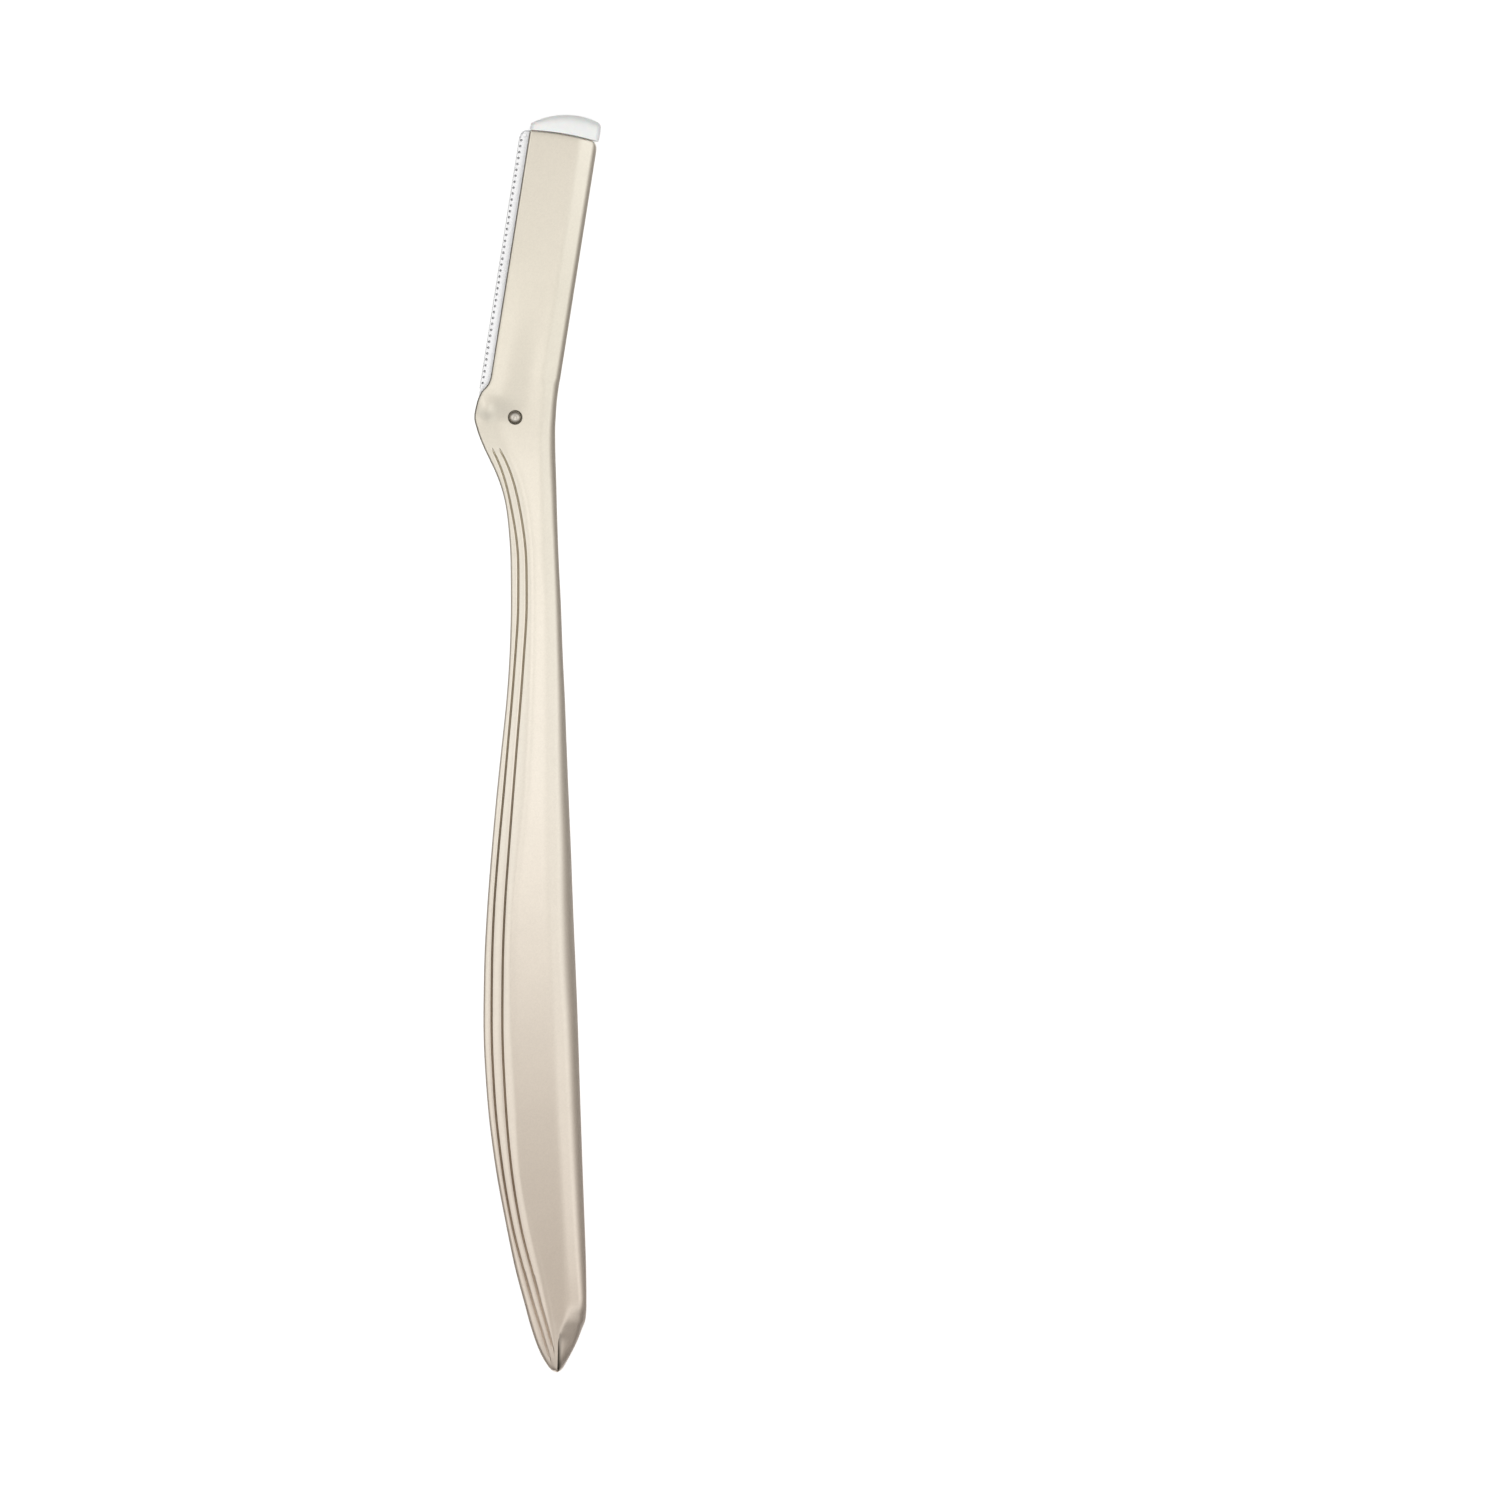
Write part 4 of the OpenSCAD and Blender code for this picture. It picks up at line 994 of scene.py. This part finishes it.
# Bare metal worked with an abrasive: fine lines of two tones along one axis, in the colour and the roughness.
# lineWidth is in metres, and stretch is the lines' share along each axis.
def workedMetal(name, dark, light, roughness, lineWidth, stretch):
    material, tree, shader = newMaterial(name)
    stretched = addNode(tree, "Mapping", {"Scale": stretch}, {"Vector": objectPlace(tree)})
    lines = noise(tree, stretched.outputs[0], lineWidth, 3.0)
    dress(tree, shader, {
        "Base Color": mixed(tree, lines, dark, light),
        "Roughness": ranged(tree, lines, roughness * 0.8, roughness * 1.25),
        "Normal": bumped(tree, lines, 0.15, lineWidth / 20),
    }, {"Metallic": 1.0})
    return material


coat = champagneCoat()
acetal = whiteAcetal()
nylon = guardNylon()
bladeSteel = workedMetal("groundBladeSteel", "#A9ABB0", "#C6C8CC", 0.25, 0.0002, (1, 0.06, 1))
pinSteel = workedMetal("turnedStainlessPin", "#BDB8B0", "#D6D2CB", 0.2, 0.00015, (0.15, 1, 1))
springSteel = workedMetal("bluedSpringSteel", "#7C818C", "#99A0AC", 0.3, 0.0002, (1, 0.08, 1))
stampedSteel = workedMetal("stampedStainlessSheet", "#A3A6AA", "#BFC2C5", 0.32, 0.0002, (1, 0.1, 1))
rolledSteel = workedMetal("rolledBarSteel", "#7E8084", "#98999C", 0.42, 0.0003, (1, 0.1, 1))
bushBrass = workedMetal("turnedBushBrass", "#B8964E", "#D2B36C", 0.28, 0.00015, (1, 1, 0.2))

for piece in (frontShell, backShell):
    wear(piece, coat)
for piece in (pivotPin, pivotCap):
    wear(piece, pinSteel)
for piece in (frontGuard, backGuard):
    wear(piece, nylon)
wear(thumbTab, acetal)
nodeMaterials = {
    "stiffening_bar": rolledSteel,
    "locating_dowels": pinSteel,
    "pivot_washers": bushBrass,
    "click_spring": springSteel,
    "spring_pin": pinSteel,
    "stop_pin": pinSteel,
    "blade_carrier": acetal,
    "carrier_bush": bushBrass,
    "blade": bladeSteel,
    "clamp_plate": stampedSteel,
    "clamp_rivets": pinSteel,
}
for name, material in nodeMaterials.items():
    wear(frame["nodes"][name], material)
print("materials set")

# Places in the frame
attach(frontShell, "handle")
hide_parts("front_shell")
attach(backShell, "handle")
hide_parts("back_shell")
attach(pivotPin, "handle")
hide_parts("pivot_pin")
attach(pivotCap, "handle")
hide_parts("pivot_cap")
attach(thumbTab, "carrier")
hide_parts("thumb_tab")
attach(frontGuard, "carrier")
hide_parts("front_guard")
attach(backGuard, "carrier")
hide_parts("back_guard")

# Floor, light and camera. Places of the lamps are in metres from the world's origin, the camera's is from the
# hinge. The ends of a range are how far a ray leans along the razor.
studio = {
    "floorSize": 3.0,
    "floorColour": "#C6C6C6",
    "floorLift": 0.66,         # turns the lit floor white and keeps the shadow
    "overhead": "#AFA9A2",     # what metal sees of the room, from straight up down to the walls
    "softboxes": "#F6F4F0",
    "upperWalls": "#99928B",
    "walls": "#5D554E",
    "roomStops": (0.97, 0.88, 0.75, 0.5, 0.2),      # heights of those: overhead, softboxes twice, both walls
    "roomPower": 1.43,
    "endShade": 0.5,           # how much of that light is left towards the head and the tip
    "endRange": (0.15, 0.7),
    "plainLight": (0.1, 0.6),  # what matt surfaces get from the horizon and from straight up
    "stripPower": 0.0131,
    "stripSize": (0.058, 0.097),
    "stripPlace": (0.002, 0.0165, 0.13),
    "ceilingPower": 3.5,       # plain light from above on matt surfaces
    "ceilingSize": 0.5,
    "ceilingHeight": 0.8,
    "cameraHeight": 4.0,
    "faceHeight": 0.0045,      # the level at which frameWidth is measured
    "frameWidth": 0.17503,
    "frameCentre": (0.02740, -0.03881),
    "sensor": 36,
}


# Paper that lifts itself to white where the camera or a shiny surface sees it
def addFloor():
    half = studio["floorSize"] / 2
    mesh = bpy.data.meshes.new("paleFloor")
    corners = [(-half, -half, 0), (half, -half, 0), (half, half, 0), (-half, half, 0)]
    mesh.from_pydata(corners, [], [(0, 1, 2, 3)])
    floor = newObject("paleFloor", mesh)
    material = bpy.data.materials.new("paleFloorPaper")
    tree = emptyTree(material)
    paper = addNode(tree, "BsdfDiffuse", {"Color": toLinear(studio["floorColour"])})
    ray = addNode(tree, "LightPath").outputs
    seen = greater(tree, ray["Is Camera Ray"], greater(tree, ray["Is Glossy Ray"], ray["Is Transmission Ray"]))
    lift = addNode(tree, "Math", {"operation": "MULTIPLY", 1: studio["floorLift"]}, {0: seen})
    glow = addNode(tree, "Emission", links={"Strength": lift.outputs[0]})
    both = addNode(tree, "AddShader", links={0: paper.outputs[0], 1: glow.outputs[0]})
    addNode(tree, "OutputMaterial", links={"Surface": both.outputs[0]})
    mesh.materials.append(material)


# The world is plain white to the camera and even for matt surfaces. Metal sees a room: a dim ceiling, large
# softboxes on both sides and darker walls, dimmer towards the head and the tip
def lightWorld():
    world = bpy.data.worlds.new("softStudio")
    bpy.context.scene.world = world
    tree = emptyTree(world)
    ray = addNode(tree, "LightPath").outputs
    direction = addNode(tree, "TexCoord").outputs["Generated"]
    parts = addNode(tree, "SeparateXYZ", links={0: direction}).outputs
    room = addNode(tree, "ValToRGB", links={"Fac": parts["Z"]})
    stops = room.color_ramp.elements
    top, boxTop, boxFoot, wallTop, wallFoot = studio["roomStops"]
    stops[0].position, stops[0].color = wallFoot, toLinear(studio["walls"])
    stops[1].position, stops[1].color = top, toLinear(studio["overhead"])
    stops.new(boxTop).color = toLinear(studio["softboxes"])
    stops.new(boxFoot).color = toLinear(studio["softboxes"])
    stops.new(wallTop).color = toLinear(studio["upperWalls"])
    along = addNode(tree, "Math", {"operation": "ABSOLUTE"}, {0: parts["Y"]})
    power, (near, far) = studio["roomPower"], studio["endRange"]
    dimmed = {"From Min": near, "From Max": far, "To Min": power, "To Max": power * studio["endShade"]}
    ends = addNode(tree, "MapRange", dimmed, {"Value": along.outputs[0]})
    shaded = scaled(tree, room.outputs["Color"], ends.outputs[0])
    plain = ranged(tree, parts["Z"], *studio["plainLight"])
    unseen = mixed(tree, ray["Is Glossy Ray"], plain, shaded)
    seen = greater(tree, ray["Is Camera Ray"], ray["Is Transmission Ray"])
    light = addNode(tree, "Background", {"Strength": 1.0}, {"Color": mixed(tree, seen, unseen, "#FFFFFF")})
    addNode(tree, "OutputWorld", links={"Surface": light.outputs[0]})


def addSoftbox(name, place, size, power):
    lamp = bpy.data.lights.new(name, "AREA")
    lamp.shape = "RECTANGLE"
    lamp.size, lamp.size_y = size
    lamp.energy = power
    softbox = newObject(name, lamp)
    softbox.location = place
    softbox.visible_camera = False
    return softbox


# A small softbox close over the waist, which lights the flats there and fades towards the head and the tip,
# and a ceiling softbox that matt surfaces alone see
def addLamps():
    addSoftbox("stripSoftbox", studio["stripPlace"], studio["stripSize"], studio["stripPower"])
    place = (hinge[0] / 1000, hinge[1] / 1000 + studio["frameCentre"][1], studio["ceilingHeight"])
    ceiling = addSoftbox("ceilingSoftbox", place, (studio["ceilingSize"],) * 2, studio["ceilingPower"])
    ceiling.visible_glossy = False


def addCamera():
    lens = bpy.data.cameras.new("photoCamera")
    lens.sensor_width = studio["sensor"]
    lens.lens = studio["sensor"] * (studio["cameraHeight"] - studio["faceHeight"]) / studio["frameWidth"]
    lens.clip_end = 20
    camera = bpy.data.objects.new("photoCamera", lens)
    bpy.context.scene.collection.objects.link(camera)
    across, along = studio["frameCentre"]
    camera.location = (hinge[0] / 1000 + across, hinge[1] / 1000 + along, studio["cameraHeight"])
    bpy.context.scene.camera = camera


addFloor()
lightWorld()
addLamps()
addCamera()
bpy.context.scene.view_settings.view_transform = "Standard"
print("stage set")
